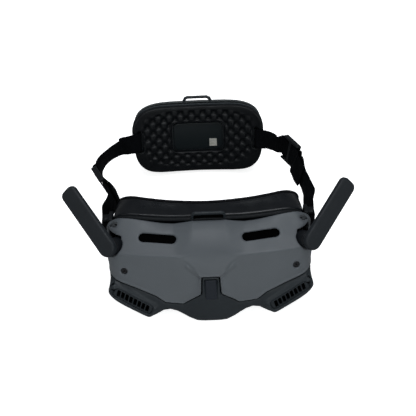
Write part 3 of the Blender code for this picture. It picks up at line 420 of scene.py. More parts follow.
def hinge_axes(sign):
    """Hinge axis, sideways direction and upward direction of an antenna's plane."""
    turn, tilt = HINGE_TURN, HINGE_TILT
    axis = Vector((
        math.sin(turn) * math.cos(tilt), -math.cos(turn) * math.cos(tilt), math.sin(tilt)))
    out = Vector((math.cos(turn), math.sin(turn), 0))
    up = axis.cross(out)
    up *= math.copysign(1, up.z)
    return flip(axis, sign), flip(out, sign), flip(up, sign)


# ---------------- materials

def fill(node, **values):
    """Set a shader node's inputs; an underscore stands for a space in an input's name."""
    for name, value in values.items():
        node.inputs[name.replace("_", " ")].default_value = value
    return node


def material(name, slot, colour, roughness, specular=0.5, *, metallic=0.0, grain=0.00035,
             bump=0.12, mottle=0.08, mottle_size=0.02, coat=0.0, spread=0.06):
    """Moulded or coated surface: base colour with soft mottling, uneven gloss and fine grain."""
    made = bpy.data.materials.new(name)
    made["slot"] = slot
    made.use_nodes = True
    nodes, links = made.node_tree.nodes, made.node_tree.links
    shader = fill(nodes["Principled BSDF"], Metallic=metallic, Coat_Weight=coat,
                  Coat_Roughness=0.25, Specular_IOR_Level=specular)
    place = nodes.new("ShaderNodeTexCoord")

    def noise(size, detail=3.0):
        node = fill(nodes.new("ShaderNodeTexNoise"), Scale=1 / size, Detail=detail)
        links.new(place.outputs["Object"], node.inputs["Vector"])
        return node.outputs["Fac"]

    def mapped(value, low, high):
        node = fill(nodes.new("ShaderNodeMapRange"), From_Min=0.3, From_Max=0.7, To_Min=low,
                    To_Max=high)
        links.new(value, node.inputs["Value"])
        return node.outputs["Result"]

    tone = nodes.new("ShaderNodeMix")
    tone.data_type = "RGBA"
    tone.blend_type = "MULTIPLY"
    fill(tone, Factor=1, A=(*colour, 1))
    links.new(mapped(noise(mottle_size), 1 - mottle, 1 + mottle), tone.inputs["B"])
    links.new(tone.outputs["Result"], shader.inputs["Base Color"])
    links.new(mapped(noise(mottle_size * 0.4), roughness - spread, roughness + spread),
              shader.inputs["Roughness"])
    if bump:
        relief = fill(nodes.new("ShaderNodeBump"), Strength=bump, Distance=grain * 0.5)
        links.new(noise(grain, 2.0), relief.inputs["Height"])
        links.new(relief.outputs["Normal"], shader.inputs["Normal"])
    return made


def webbing_material(name, slot, colour):
    """Woven band: ribs across the width and threads along it, read from the band's own map."""
    made = material(name, slot, colour, 0.8, 0.04, bump=0, mottle=0.15, mottle_size=0.004)
    nodes, links = made.node_tree.nodes, made.node_tree.links
    shader = nodes["Principled BSDF"]
    place = nodes.new("ShaderNodeUVMap")
    split = nodes.new("ShaderNodeSeparateXYZ")
    links.new(place.outputs["UV"], split.inputs["Vector"])

    def math_node(kind, a, b):
        node = nodes.new("ShaderNodeMath")
        node.operation = kind
        for socket, value in zip(node.inputs, (a, b)):
            if isinstance(value, (int, float)):
                socket.default_value = value
            else:
                links.new(value, socket)
        return node.outputs["Value"]

    def wave(axis, pitch, shift=0.0):
        angle = math_node("MULTIPLY", split.outputs[axis], math.tau / pitch)
        return math_node("SINE", math_node("ADD", angle, shift), 0)

    along, across = wave("X", 0.0013), wave("Y", 0.0011)
    height = math_node("ADD", math_node("MULTIPLY", along, across), math_node("MULTIPLY", across, 0.6))
    relief = fill(nodes.new("ShaderNodeBump"), Strength=0.7, Distance=0.00025)
    links.new(height, relief.inputs["Height"])
    links.new(relief.outputs["Normal"], shader.inputs["Normal"])
    return made


COVER = material("grey_cover", "cover_grey", (0.0585, 0.066, 0.0735), 0.5, 0.3, mottle=0.04,
                 mottle_size=0.03)
HOUSING = material("black_housing", "housing_black", (0.0102, 0.0138, 0.0168), 0.5, 0.25)
TRIM = material("black_trim", "housing_black", (0.006, 0.0085, 0.013), 0.5, 0.2)
# The housing's own black, darkened further as painted shade for the rear housing's strip in the seam
# under the face shield; the strap anchors use it too.
SLEEVE = material("black_sleeve", "housing_black", (0.003, 0.004, 0.005), 0.5, 0.12)
BUCKLE = material("black_buckle", "housing_black", (0.003, 0.004, 0.005), 0.45, 0.2)
RUBBER = material("black_rubber", "rubber_black", (0.0025, 0.0035, 0.005), 0.45, 0.2, grain=0.0005,
                  bump=0.1)
SHIELD = material("black_shield", "rubber_black", (0.002, 0.003, 0.0045), 0.32, 0.25, grain=0.0006,
                  bump=0.06)
FOAM = material("black_foam", "foam_black", (0.002, 0.0022, 0.003), 0.75, 0.1, grain=0.0004,
                bump=0.35)
PAD = material("black_pad", "foam_black", (0.0012, 0.0018, 0.0026), 0.45, 0.14, grain=0.0005,
               bump=0.15)
ANTENNA = material("black_antenna", "rubber_black", (0.0068, 0.009, 0.0115), 0.55, 0.25,
                   grain=0.0004, bump=0.15)
SHELL = material("battery_grey", "housing_black", (0.03, 0.035, 0.036), 0.45, 0.3, grain=0.0004)
# A dead black with no gloss: the intake mesh's own black, and painted shade on the sheets put in the
# outlets and in the top loop's slot.
MESH_AND_SHADE_BLACK = material("black_mesh_and_painted_shade", "mesh_black", (0.001, 0.001, 0.001), 1.0, 0, grain=0.0008, bump=0,
                spread=0)
PANEL = material("window_black", "glass", (0.002, 0.004, 0.005), 0.35, 0.15, grain=0.001, bump=0,
                 mottle=0, spread=0.01)
LABEL = material("grey_label", "label_grey", (0.2, 0.2, 0.18), 0.6, grain=0.0006, bump=0.1,
                 mottle=0.25, mottle_size=0.0015)
STEEL = material("bright_steel", "steel", (0.5, 0.5, 0.52), 0.32, metallic=1.0, grain=0.0006,
                 bump=0.08)
SCREW = material("black_screw", "steel", (0.01, 0.01, 0.012), 0.35, metallic=0.4, grain=0.0006,
                 bump=0.1)
ALUMINIUM = material("plain_aluminium", "aluminium", (0.6, 0.6, 0.62), 0.38, metallic=1.0,
                     grain=0.0005, bump=0.15)
BOARD = material("green_board", "board_green", (0.015, 0.08, 0.035), 0.45, grain=0.0015, bump=0.1,
                 mottle=0.2, mottle_size=0.003)
CELL = material("blue_cell", "cell_wrap", (0.05, 0.1, 0.25), 0.35, grain=0.002, bump=0.05)
GLASS = material("dark_lens", "glass", (0.02, 0.022, 0.028), 0.06, grain=0.004, bump=0.01,
                 coat=1.0, spread=0.02)
LIGHTS = material("pale_lights", "light_pipe", (0.5, 0.52, 0.5), 0.3, grain=0.001, bump=0.05)
WEBBING = webbing_material("black_webbing", "webbing_black", (0.0012, 0.0015, 0.0022))

# ---------------- the casing

UPPER_PLANE, LOWER_PLANE, CHIN_PLANE = (-29, 60, 29 / 13), (-47, 24, 1 / 2), (-47, 24, 1 / 6)
UPPER_DROP = 2.3  # the top slopes beside the centre band lie this much below the frame's
BAND_Z = (0, 28, 42, 54, 60, 76)
BAND_HALF = (8.4, 7.4, 7.0, 15.5, 15.6, 16.4)
BAND_SLOPE = (15, 11, 2.6, 4.0, 13, 14)
POD_LINE = ((55.1, -47.4, 13.8), (78.3, -40.5, 26.8))  # through the outlet slots, inner to outer
SLOTS, SLOT_PITCH, SLOT_HEIGHT, SLOT_LEAN = 8, 3.92, 7.8, 0.24


def set_back(x):
    """How far the casing's front lies behind its centre line."""
    return SAG * (x / SAG_AT) ** 2


def ahead_of(y, z, y0, z0, rise):
    """How far points lie in front of a plane through (y0, z0) that goes back by rise in z."""
    return (y0 + rise * (z - z0) - y) / math.hypot(1, rise)


def casing(x, y, z):
    """The closed casing: three slopes with a raised centre band, sides, pods and outline."""
    side, back = np.abs(x), set_back(x)
    half, slope = np.interp(z, BAND_Z, BAND_HALF), np.interp(z, BAND_Z, BAND_SLOPE)
    raised = smax(smin((half + slope - side) / slope, 1, 0.25), 0, 0.25)
    crease = 2.2 + 8 * raised
    drop = UPPER_DROP + 0.12 * np.clip(z - 66, -8, 8)
    upper = ahead_of(y - back, z, *UPPER_PLANE) + drop - (drop + 0.9) * raised
    lower = ahead_of(y - back, z, *LOWER_PLANE) - 1.9 * raised
    chin = ahead_of(y - back, z, *CHIN_PLANE) - 1.9 * raised
    body = smax(smax(upper, lower, crease), chin, 6)
    body = body - 0.6 * (1 - raised) * np.exp(-((upper - lower) / 0.8) ** 2)
    t = np.clip(((side - 10) * 9 + (z - 44) * 7) / (9 ** 2 + 7 ** 2), 0, 1)
    apart = np.hypot(side - 10 - 9 * t, z - 44 - 7 * t)
    body = body - 0.9 * np.exp(-(apart / 1.7) ** 2)
    body = smax(body, side - HALF_WIDTH - 1.8 * step(38, 54, z), 14)
    for _, sign in SIDES:
        at = pod_frame(sign)
        pod = box(at @ shift((1.2, -1.7, -7)), (22.5, 7.8, 7.2), 3.4)
        body = smin(body, pod(x, y, z), 4)
    return smax(body, polygon(mirrored(FRONT_OUTLINE), x, z), 3.5).astype(np.float32)


def pod_frame(sign):
    """On an air outlet: x along its slots towards the outer end, y up its face, z out of it."""
    inner, outer = (flip(p, sign) for p in POD_LINE)
    along = (outer - inner).normalized()
    out = Vector((0, -1, 0.05))
    out = (out - along * out.dot(along)).normalized()
    up = out.cross(along)
    up *= math.copysign(1, up.z)
    return axes((inner + outer) / 2, along, up, out)


def on_front(x, z, drop=0.0):
    """A frame on the casing's front: x sideways, y up the surface, z out of it."""
    profile = ((24, -47), (60, -29), (73, 0))

    def point(across, up):
        y = np.interp(up, [p[0] for p in profile], [p[1] for p in profile])
        return Vector((across, y + set_back(across), up))

    along = (point(x + 1, z) - point(x - 1, z)).normalized()
    up = (point(x, z + 0.5) - point(x, z - 0.5)).normalized()
    normal = along.cross(up).normalized()
    return axes(point(x, z) - normal * drop, along, normal.cross(along), normal)


def hinge_frame(sign):
    """At an antenna's pivot, with z along its hinge."""
    axis, _, up = hinge_axes(sign)
    return axes(flip(PIVOT, sign), axis.cross(up) * -1, up, axis)


def build_casing():
    cover = Block((-89, -58, -3.6), (89, 13.6, 77), 0.62)
    x, y, z = cover.grid
    body = casing(x, y, z)
    shell = smax(body, -(body + WALL), 0.4)
    shell = smax(shell, y - REAR_EDGE - set_back(x), 1.0)
    line = SPLIT + [(-p, q) for p, q in reversed(SPLIT)] + [(-95, 120), (95, 120)]
    above = polygon(line, x, z)
    lower = cover.like(smax(shell + 0.35 * step(3.5, 0.6, above), 0.4 - above, 0.8))
    lip = 0.4 * np.exp(-((above + 1.3) / 0.8) ** 2)
    cover.v = smax(shell - lip, above + 0.4, 1.0)
    del body, shell, above
    for _, sign in SIDES:
        cover_details(cover, sign)
        lower_details(lower, sign)
    trim = on_front(0, 31.6) @ shift((0, 0, 1.6))
    lower.cut(box(trim, (5.6, 9.8, 1.5), 0.9), 0.5, trim.translation, 15)
    grown("front_cover_shell", cover, COVER, ["front_cover"])
    grown("lower_housing_shell", lower, HOUSING, ["lower_housing"])


def hinge_recess(block, sign):
    room = disc(hinge_frame(sign), HINGE_RADIUS + 0.4, -15, 16, 0.3)
    block.cut(room, 0.9, flip(PIVOT, sign), 30)


def cover_details(cover, sign):
    """The grey cover's ear with its hole, intake slot, screw hole and side opening."""
    lean = shift((0, 0, 62.5)) @ Matrix.Rotation(math.radians(-14), 4, "X")
    ear = [(70 * sign, 9), (72 * sign, -4), (80 * sign, -3.5), (87 * sign, 2.2), (87.5 * sign, 4.5),
           (83 * sign, 9)]
    near = (80 * sign, 3, 62)
    cover.add(prism(lean, ear, -1.6, 1.6, 0.9), 2.5, near, 16)
    tilt = Matrix.Rotation(math.radians(38 * sign), 4, "Z")
    hole = lean @ shift((80.6 * sign, 2.9, 0)) @ tilt
    cover.cut(prism(hole, pill(7.6, 3.8), -6, 6, 0.1), 0.4, near, 12)
    hinge_recess(cover, sign)
    slope = intake_frame(sign)
    cover.cut(prism(slope, pill(31.5, 7.4), -6, 6, 0.2), 1.6, slope.translation, (22, 10, 10))
    screw = on_front(72.2 * sign, 44.3)
    cover.cut(disc(screw, 2.8, -9, 9, 0.2), 0.9, screw.translation, 12)
    opening = shift((80.6 * sign, -2.8, 57.5))
    cover.cut(box(opening, (8, 7.8, 6), 2.5), 1.2, opening.translation, 18)


def intake_frame(sign):
    """On the slope beside the centre band, with x along the intake slot."""
    turn = Matrix.Rotation(math.radians(1.6 * sign), 4, "Z")
    return on_front(43.4 * sign, 66, UPPER_DROP) @ turn


def build_intake(side, sign):
    """The fine black mesh under the intake slot, grown as a closed plate whose dead black also paints
    the shade of the inside behind it.
    """
    block = Block((-18.5, -6.5, -5), (18.5, 6.5, -1), 0.34)
    x, y, z = block.grid
    sheet = prism(HERE, pill(35, 10.9), -3.2, -2.3, 0.3)(x, y, z)
    dimples = 0.4 * np.abs(np.sin(math.pi * x / 1.9) * np.sin(math.pi * y / 1.9))
    block.v = smax(sheet, z + 2.3 + dimples, 0.2)
    grown(f"intake_mesh_{side}_plate", block, MESH_AND_SHADE_BLACK, [f"intake_mesh_{side}"],
          intake_frame(sign))


def lower_details(lower, sign):
    """The black housing's air outlet, grooves, pockets and a socket's opening."""
    at = pod_frame(sign)
    middle = at.translation
    length = SLOTS * SLOT_PITCH + 2.4
    window = prism(at, rounded(length + 4, SLOT_HEIGHT + 2.6, 3.8), -1.4, 8, 0.3)
    lower.cut(window, 0.7, middle, 24)
    through = prism(at, rounded(length, SLOT_HEIGHT, 2.6), -16, 4, 0.3)
    lower.cut(through, 0.6, middle, (24, 22, 18))

    def groove(x, y, z):
        u, v, w = into(at, x, y, z)
        t = np.clip((7 - u) / 26, 0, 1)
        size = 0.5 + 2.4 * t
        near = np.clip(u, -19, 7)
        return np.sqrt((u - near) ** 2 + (v - 6.2 - 0.6 * t) ** 2 + (w - 0.6) ** 2) - size

    lower.cut(groove, 1.2, middle, 26)
    pocket = capsule(flip((83.2, -32.2, 37.0), sign), flip((82.6, -37.2, 30.6), sign), 1.5)
    lower.cut(pocket, 1.2, flip((83, -34, 34), sign), 9)
    knob = shift((EYE_X * sign, KNOB_Y, 5))
    lower.cut(box(knob, (13, 8.9, 11), 1.5), 0.8, knob.translation, (18, 14, 16))
    hinge_recess(lower, sign)
    socket = (82 * sign, -16, 34.4)
    side_on = axes(Vector(socket), BACK, UP, SIDEWAYS)
    if sign > 0:
        lower.cut(prism(side_on, pill(9.7, 3.9), -7, 7, 0.2), 0.8, socket, 9)
    else:
        lower.cut(disc(side_on, 2.55, -7, 7, 0.2), 0.8, socket, 9)


def build_grille(side, sign):
    """The insert in the outlet: a rounded plate with leaning slots, with a black sheet of painted
    shade behind it.
    """
    at = pod_frame(sign)
    length = SLOTS * SLOT_PITCH + 2.4
    block = Block((-20, -6, -5), (20, 6, 0.4), 0.34,
                  prism(HERE, rounded(length + 2.2, SLOT_HEIGHT + 1.4, 3), -2.6, -0.6, 0.5))
    for i in range(SLOTS):
        middle = SLOT_PITCH * (i - (SLOTS - 1) / 2)
        slot = [(middle + u + v * SLOT_LEAN, v) for u, v in ((-1.4, -3.7), (1.4, -3.7), (1.4, 3.7),
                                                             (-1.4, 3.7))]
        block.cut(prism(HERE, slot, -9, 9, 0.1), 0.8)
    grown(f"outlet_grille_{side}_insert", block, HOUSING, [f"outlet_grille_{side}"], at)
    # A flat black sheet behind the slots: painted shade where the outlet's depth falls dark.
    dark = Block((-20, -6, -9), (20, 6, -3), 0.5,
                 prism(HERE, rounded(length + 1.5, SLOT_HEIGHT + 1.2, 3), -8, -4.5, 1))
    grown(f"outlet_painted_shade_{side}", dark, MESH_AND_SHADE_BLACK, [], at)


def build_nose_trim():
    at = on_front(0, 31.6) @ shift((0, 0, 1.6))
    block = Block((-6, -11, -3), (6, 11, 1.5), 0.3,
                  box(shift((0, 0, -1.3)), (4.8, 9.0, 0.75), 0.6))
    grown("nose_trim_panel", block, TRIM, ["nose_trim"], at)


# ---------------- rings round the eyes

def offset(outline, distance):
    """An outline in (x, z), moved inwards."""
    ahead, behind = np.roll(outline, -1, 0), np.roll(outline, 1, 0)
    along = ahead - behind
    along /= np.linalg.norm(along, axis=1)[:, None]
    return outline + np.stack([along[:, 1], -along[:, 0]], 1) * distance


def ring(name, loops, per, finish, nodes):
    """A closed ring whose skin runs smoothly through closed loops and back to the first."""
    loops = np.array(loops)
    rows = []
    count = len(loops)
    for i in range(count):
        a, b, c, d = (loops[(i + k - 1) % count] for k in range(4))
        rows += [between(a, b, c, d, j / per) for j in range(per)]
    rows = np.array(rows)
    faces = tube_faces(*rows.shape[:2], True)
    points = rows.reshape(-1, 3)
    p = points[faces[:, :3]]
    if np.einsum("ij,ij->i", p[:, 0], np.cross(p[:, 1], p[:, 2])).sum() < 0:
        faces = faces[:, ::-1]
    obj = object_of(name, points, faces)
    return shown(obj, finish, nodes)


def around(outline, distance, y):
    """A closed loop in space: an outline in (x, z) moved inwards, at the depths y."""
    shape = offset(outline, distance)
    return np.stack([shape[:, 0], y, shape[:, 1]], 1)


def build_rings():
    """The sleeve behind the casing, the face shield over it and the cushion on its edge."""
    outer = np.array(smooth_line(mirrored(REAR_OUTLINE), 7, closed=True))
    rim = mirrored_rim()
    depth = rim[:, 1]
    rim = rim[:, [0, 2]]
    back = set_back(outer[:, 0])

    def sides(*loops):
        """Loops on the housing's outline: how far inwards and how far back."""
        return [around(outer, inwards, y + back) for inwards, y in loops]

    def edges(*loops):
        """Loops on the face's outline: how far inwards and how far in front of the edge."""
        return [around(rim, inwards, depth - ahead) for inwards, ahead in loops]

    ring("rear_housing_sleeve", sides(
        (2.2, 1.4), (0.9, 1.4), (0.15, 1.9), (0.05, 3.0), (0.2, 4.1), (0.9, 4.4), (1.4, 4.5),
        (1.45, 13.9), (2.2, 13.9)), 2, SLEEVE, ["rear_housing"])
    lip = 4.6
    skirt = sides((1.7, 14.0), (1.6, 9), (1.6, 5.6), (1.0, 4.9), (0.3, 5.2), (-0.1, 6.5),
                  (0.1, 9.5), (0.5, 13.5))
    skirt.append(sides((0.6, 13.5))[0] * 0.55 + edges((-4.6, lip))[0] * 0.45)
    skirt += edges((-4.6, lip + 1.6), (-4.0, lip), (2.0, lip), (2.7, lip + 1.4))
    skirt.append(sides((3.2, 14.5))[0] * 0.5 + edges((2.8, lip))[0] * 0.5)
    skirt += sides((3.0, 14.5))
    ring("face_shield_skirt", skirt, 4, SHIELD, ["face_shield"])
    foam = ring("face_foam_cushion", edges(
        (2.2, 4.3), (4.4, 4.2), (4.9, 2.5), (3.4, 0.6), (0.2, 0), (-3.0, 0.4), (-4.7, 1.9),
        (-4.9, 3.6), (-4.0, 4.3)), 5, FOAM, ["face_foam"])


def mirrored_rim():
    """The edge of the face shield, all the way round."""
    half = RIM + [(-x, y, z) for x, y, z in reversed(RIM) if x > 1e-6]
    return np.array(smooth_line(half, 7, closed=True))


# ---------------- antennas, anchors, loops

def build_antenna(side, sign):
    axis, out, up = hinge_axes(sign)
    spread = SPREAD[side]
    toward = up * math.cos(spread) + out * math.sin(spread)
    across = up * math.sin(spread) - out * math.cos(spread)
    start = flip(PIVOT, sign) + across * BLADE_SHIFT[side] + toward * 0.8
    at = axes(start, toward, axis.cross(toward), axis)
    half, radius = BLADE_WIDTH / 2, 5.2
    tip = BLADE_LENGTH - radius
    outline = (arc(0, 0, half, 90, 180, 20) + arc(tip, radius - half, radius, -90, 90, 10)
               + arc(tip, half - radius, radius, 0, 90, 10))
    low = HINGE_FACE + GAP
    block = Block((-10, -10, low - 1), (BLADE_LENGTH + 1, 10, low + BLADE_THICK + 1), 0.42,
                  prism(HERE, outline, low, low + BLADE_THICK, 1.9))
    block.cut(disc(HERE, 2.3, low - 1, low + 4, 0.1), 0.4)
    grown(f"antenna_{side}_blade", block, ANTENNA, [f"antenna_{side}"], at, f"antenna_{side}")
    hinge = hinge_frame(sign)
    base = Block((-10, -10, -10), (10, 10, HINGE_FACE + 1), 0.4,
                 disc(HERE, HINGE_RADIUS, -HINGE_DEPTH, HINGE_FACE, 1.0))

    def groove(x, y, z):
        return np.sqrt((np.sqrt(x * x + y * y) - HINGE_RADIUS) ** 2 + (z - 1.0) ** 2) - 0.45

    base.cut(groove, 0.5)
    base.cut(disc(HERE, 2.2, -7, 10, 0.1), 0.4)
    grown(f"antenna_base_{side}_hub", base, RUBBER, [f"antenna_base_{side}"], hinge)


def build_anchor(side, sign):
    low, high = sorted((81.5 * sign, 92.5 * sign))
    block = Block((low, 9, 34.5), (high, 23.5, 65.5), 0.42,
                  bar((82.15, 85.6), (10.5, 22), (36, 64), 0.9, sign))
    for z in ((61.6, 64), (36, 38.4)):
        block.add(bar((83, 91), (11.4, 18.5), z, 1.1, sign), 1.6)
    block.add(capsule((88.7 * sign, 14, 37.5), (88.7 * sign, 14, 62.5), 1.8), 0.8)
    grown(f"strap_anchor_{side}_bracket", block, SLEEVE, [f"strap_anchor_{side}"])


def build_top_loop():
    """The low frame that a top strap would run through, with a sheet of painted shade in its slot."""
    at = shift((0, 2.8, 0)) @ FLAT_FRONT
    outer = [(-14.9, 68), (-14.6, 74.4), (-13.4, 76.7), (-11.4, 77.7), (11.4, 77.7), (13.4, 76.7),
             (14.6, 74.4), (14.9, 68)]
    block = Block((-17, 0, 66), (17, 6, 80), 0.35, prism(at, outer, -1.4, 1.4, 0.9))
    slot = [(-12.6, 69), (-12.5, 74.2), (-11.7, 75.1), (11.7, 75.1), (12.5, 74.2), (12.6, 69)]
    block.cut(prism(at, slot, -6, 6, 0.1), 0.5)
    grown("top_strap_loop_frame", block, HOUSING, ["top_strap_loop"])
    # A flat black sheet in the loop's slot: painted shade.
    dark = Block((-15, 0, 66), (15, 6, 77), 0.4,
                 prism(at, [(u * 1.02, v) for u, v in slot], -1.2, 1.0, 0.1))
    grown("top_strap_loop_shade", dark, MESH_AND_SHADE_BLACK, [])


# ---------------- battery

BATTERY = shift((-7.3, 137.5, 3.9)) @ Matrix.Rotation(math.radians(-22), 4, "X")
BATTERY_HALF, BATTERY_BEND = 65, 10
BATTERY_FACE = [
    (0, 70.8), (15, 70.8), (30, 71.0), (42, 70.6), (51.8, 68.5), (59, 64.5), (63.3, 58.5),
    (65.6, 51), (66.2, 42), (65.8, 33), (64.8, 24), (63.2, 15.8), (59, 7.6), (51, 1.2), (39, -1.4),
    (20, -1.9), (0, -1.9),
]
STRAP_SLOT = (57.6, 34)
WINDOW_AT, WINDOW_SIZE = (0, 35.2), (52.5, 30.5)
BUMP_X, BUMP_Z = 5.6, 6.05  # between neighbouring bumps of the pad


def bent(points):
    """From the battery's own straight frame to its place."""
    points = np.array(points, float)
    points[:, 1] -= BATTERY_BEND * (points[:, 0] / BATTERY_HALF) ** 2
    return moved(points, BATTERY)


def battery_block(front, back, size=0.55):
    return Block((-68, front, -4), (68, back, 73), size)


def face_distance(block):
    outline = smooth_line(mirrored(BATTERY_FACE), 5, closed=True)
    return polygon(outline, block.grid[0], block.grid[2])


def build_pad():
    block = battery_block(-3.5, 7.2, 0.45)
    x, y, z = block.grid
    edge = face_distance(block)
    window = polygon(rounded(*WINDOW_SIZE, 6, WINDOW_AT), x, z)
    border = 6.5 + 3.5 * step(20, 48, np.abs(x))
    field = step(border, border + 3, -edge) * step(0.6, 3.6, window)
    waves = np.cos(math.pi * x / BUMP_X) * np.cos(math.pi * (z - 36.3) / BUMP_Z)
    relief = field * (2.4 - 4.6 * ((1 + waves) / 2) ** 1.4)
    top = edge + 0.6 + 3.0 * step(48, 66, z)
    body = plate(top, y, 0, 6, 2.9)
    body = smax(body, (relief - y) * 0.7, 0.8)
    block.v = smax(body, -window, 2.2)
    for sign in (1, -1):
        slot = rounded(4.6, 21.6, 2, (STRAP_SLOT[0] * sign, STRAP_SLOT[1]))
        block.cut(prism(FLAT_FRONT, slot, -9, 9, 0.2), 1.6)
    pad = grown("battery_pad_cushion", block, PAD, ["battery_pad"], bent)


def build_battery_shells():
    inner = battery_block(5.6, 9.8, 0.45)
    _, y, z = inner.grid
    edge = face_distance(inner) + 0.6 + 1.9 * step(48, 66, z)
    inner.v = plate(edge, y, 6.35, 9.0, 0.8)
    grown("battery_inner_shell_plate", inner, HOUSING, ["battery_inner_shell"], bent)
    back = battery_block(8, 31.5, 0.6)
    x, y, z = back.grid
    dome = y - 30 + 8 * (x / BATTERY_HALF) ** 4 + 3.5 * ((z - 38) / 38) ** 4
    outer = smax(face_distance(back) + 0.1 + 0 * y, dome, 22)
    shell = smax(outer, -(outer + 2.2), 0.4)
    back.v = smax(shell, 9.35 - y, 0.9)
    back.cut(disc(along_y(0, 38), 4.45, 20, 40, 0.2), 0.8, (0, 29, 38), 10)
    back.cut(prism(shift((0, 30, 52)) @ FLAT_FRONT, pill(14.7, 2.7), -8, 8, 0.2),
             0.6, (0, 29, 52), 12)
    grown("battery_back_shell_cover", back, SHELL, ["battery_back_shell"], bent)


def build_battery_details():
    panel = Block((-26, 2.4, 20), (26, 6, 52), 0.4)
    x, y, z = panel.grid
    panel.v = plate(polygon(rounded(49.6, 27.8, 5, WINDOW_AT), x, z), y, 3.4, 5.2, 0.5)
    grown("battery_window_panel", panel, PANEL, ["battery_window"], bent)
    label = Block((10, 2.7, 23), (20, 3.8, 34), 0.2)
    outline = rounded(7.6, 8.0, 0.5, (15.1, 28.3))
    x, y, z = label.grid
    label.v = plate(polygon(outline, x, z), y, 3.12, 3.5, 0.1)
    grown("battery_label_plate", label, LABEL, ["battery_label"], bent)
    knots = [(-14.0, 10, 68.2), (-11.6, 10, 73.0), (-9.3, 10, 74.0), (9.9, 10, 74.0),
             (12.6, 10, 72.6), (14.6, 10, 68.2)]
    loop = Block((-17, 7, 66), (18, 13.5, 78), 0.35, capsule(knots[0], knots[1], 1.5))
    for a, b in zip(knots[1:], knots[2:]):
        loop.add(capsule(a, b, 1.5), 0.4)
    grown("battery_top_loop_wire", loop, HOUSING, ["battery_top_loop"], BATTERY)


# ---------------- straps

STRAP_WIDTH, STRAP_THICK = 20, 1.4
ANCHOR_BAR, ANCHOR_Z = (88.7, 14), 50
STRAP_LINES = {  # x, y, z and the lean outwards in degrees
    "left": [
        (91.0, 33, 48.9, 12), (92.0, 48, 46.9, 24), (91.7, 61, 45.4, 14), (90.4, 74, 43.9, 11),
        (89.3, 85, 42.8, 17), (88.2, 96, 41.9, 20), (86.3, 107, 41.0, 20),
        (82.8, 118.6, 40.0, 12), (77.0, 126.2, 39.1, 5), (69.5, 133.6, 38.2, 2),
    ],
    "right": [
        (-91.0, 33, 50.0, 10), (-87.8, 44, 49.3, 14), (-86, 54, 48.6, 18),
        (-88.6, 62.5, 47.7, 20), (-93.6, 71.5, 46.5, 20), (-98.4, 81.5, 45.2, 20),
        (-101.4, 91.8, 43.9, 20), (-102.3, 101, 42.7, 12), (-101.2, 110.5, 41.5, 0),
        (-97.2, 120.6, 40.1, -10), (-91.4, 129.4, 39.1, -14), (-84.4, 136.8, 38.2, -14),
    ],
}
SLIDER_AT, SLIDER_LENGTH = {"left": 43, "right": 34}, 24


def strap_path(sign, line, slider):
    """Where a strap runs, from the side of the goggles round its anchor bar to the battery."""
    x, y = ANCHOR_BAR
    reach = 1.8 + GAP + STRAP_THICK / 2
    turn = [Vector((x - reach, y + 12, ANCHOR_Z)), Vector((x - reach, y + 5, ANCHOR_Z))]
    for i in range(9):
        angle = math.radians(180 + 180 * i / 8)
        turn.append(Vector((x + reach * math.cos(angle), y + reach * math.sin(angle), ANCHOR_Z)))
    turn.append(Vector((x + reach, y + 5, ANCHOR_Z)))
    turn = [flip(p, sign) for p in turn]
    widths = [UP.copy() for _ in turn]
    ends = [
        BATTERY @ Vector((x * sign, -BATTERY_BEND * (x / BATTERY_HALF) ** 2 + y, STRAP_SLOT[1]))
        for x, y in ((69, -3.2), (63.5, -2.2), (58.6, -1.2), (57.6, 2.2), (57.6, 5.4))
    ]
    knots = [turn[-1]] + [Vector(point[:3]) for point in line] + ends
    leans = [0] + [point[3] for point in line] + [0] * len(ends)
    tips = [0] * len(line) + [4 if sign < 0 else 0, 10, 18, 22, 22, 22]
    run = [Vector(p) for p in smooth_line(knots, 4)][1:]
    for i in range(len(run)):
        at = (i + 1) / 4
        lean = math.radians(np.interp(at, range(len(leans)), leans))
        tip = math.radians(np.interp(at, range(len(tips)), tips))
        widths.append(Vector((math.sin(lean) * sign, math.sin(tip), math.cos(lean))))
    path = turn + run
    centre = path[slider].copy()
    along = (path[slider + 1] - path[slider - 1]).normalized()
    across = (widths[slider] - along * widths[slider].dot(along)).normalized()
    for i in range(slider - 6, slider + 7):
        path[i] = centre + along * (path[i] - centre).dot(along)
        widths[i] = across
    return path, widths, axes(centre, across, along, across.cross(along))


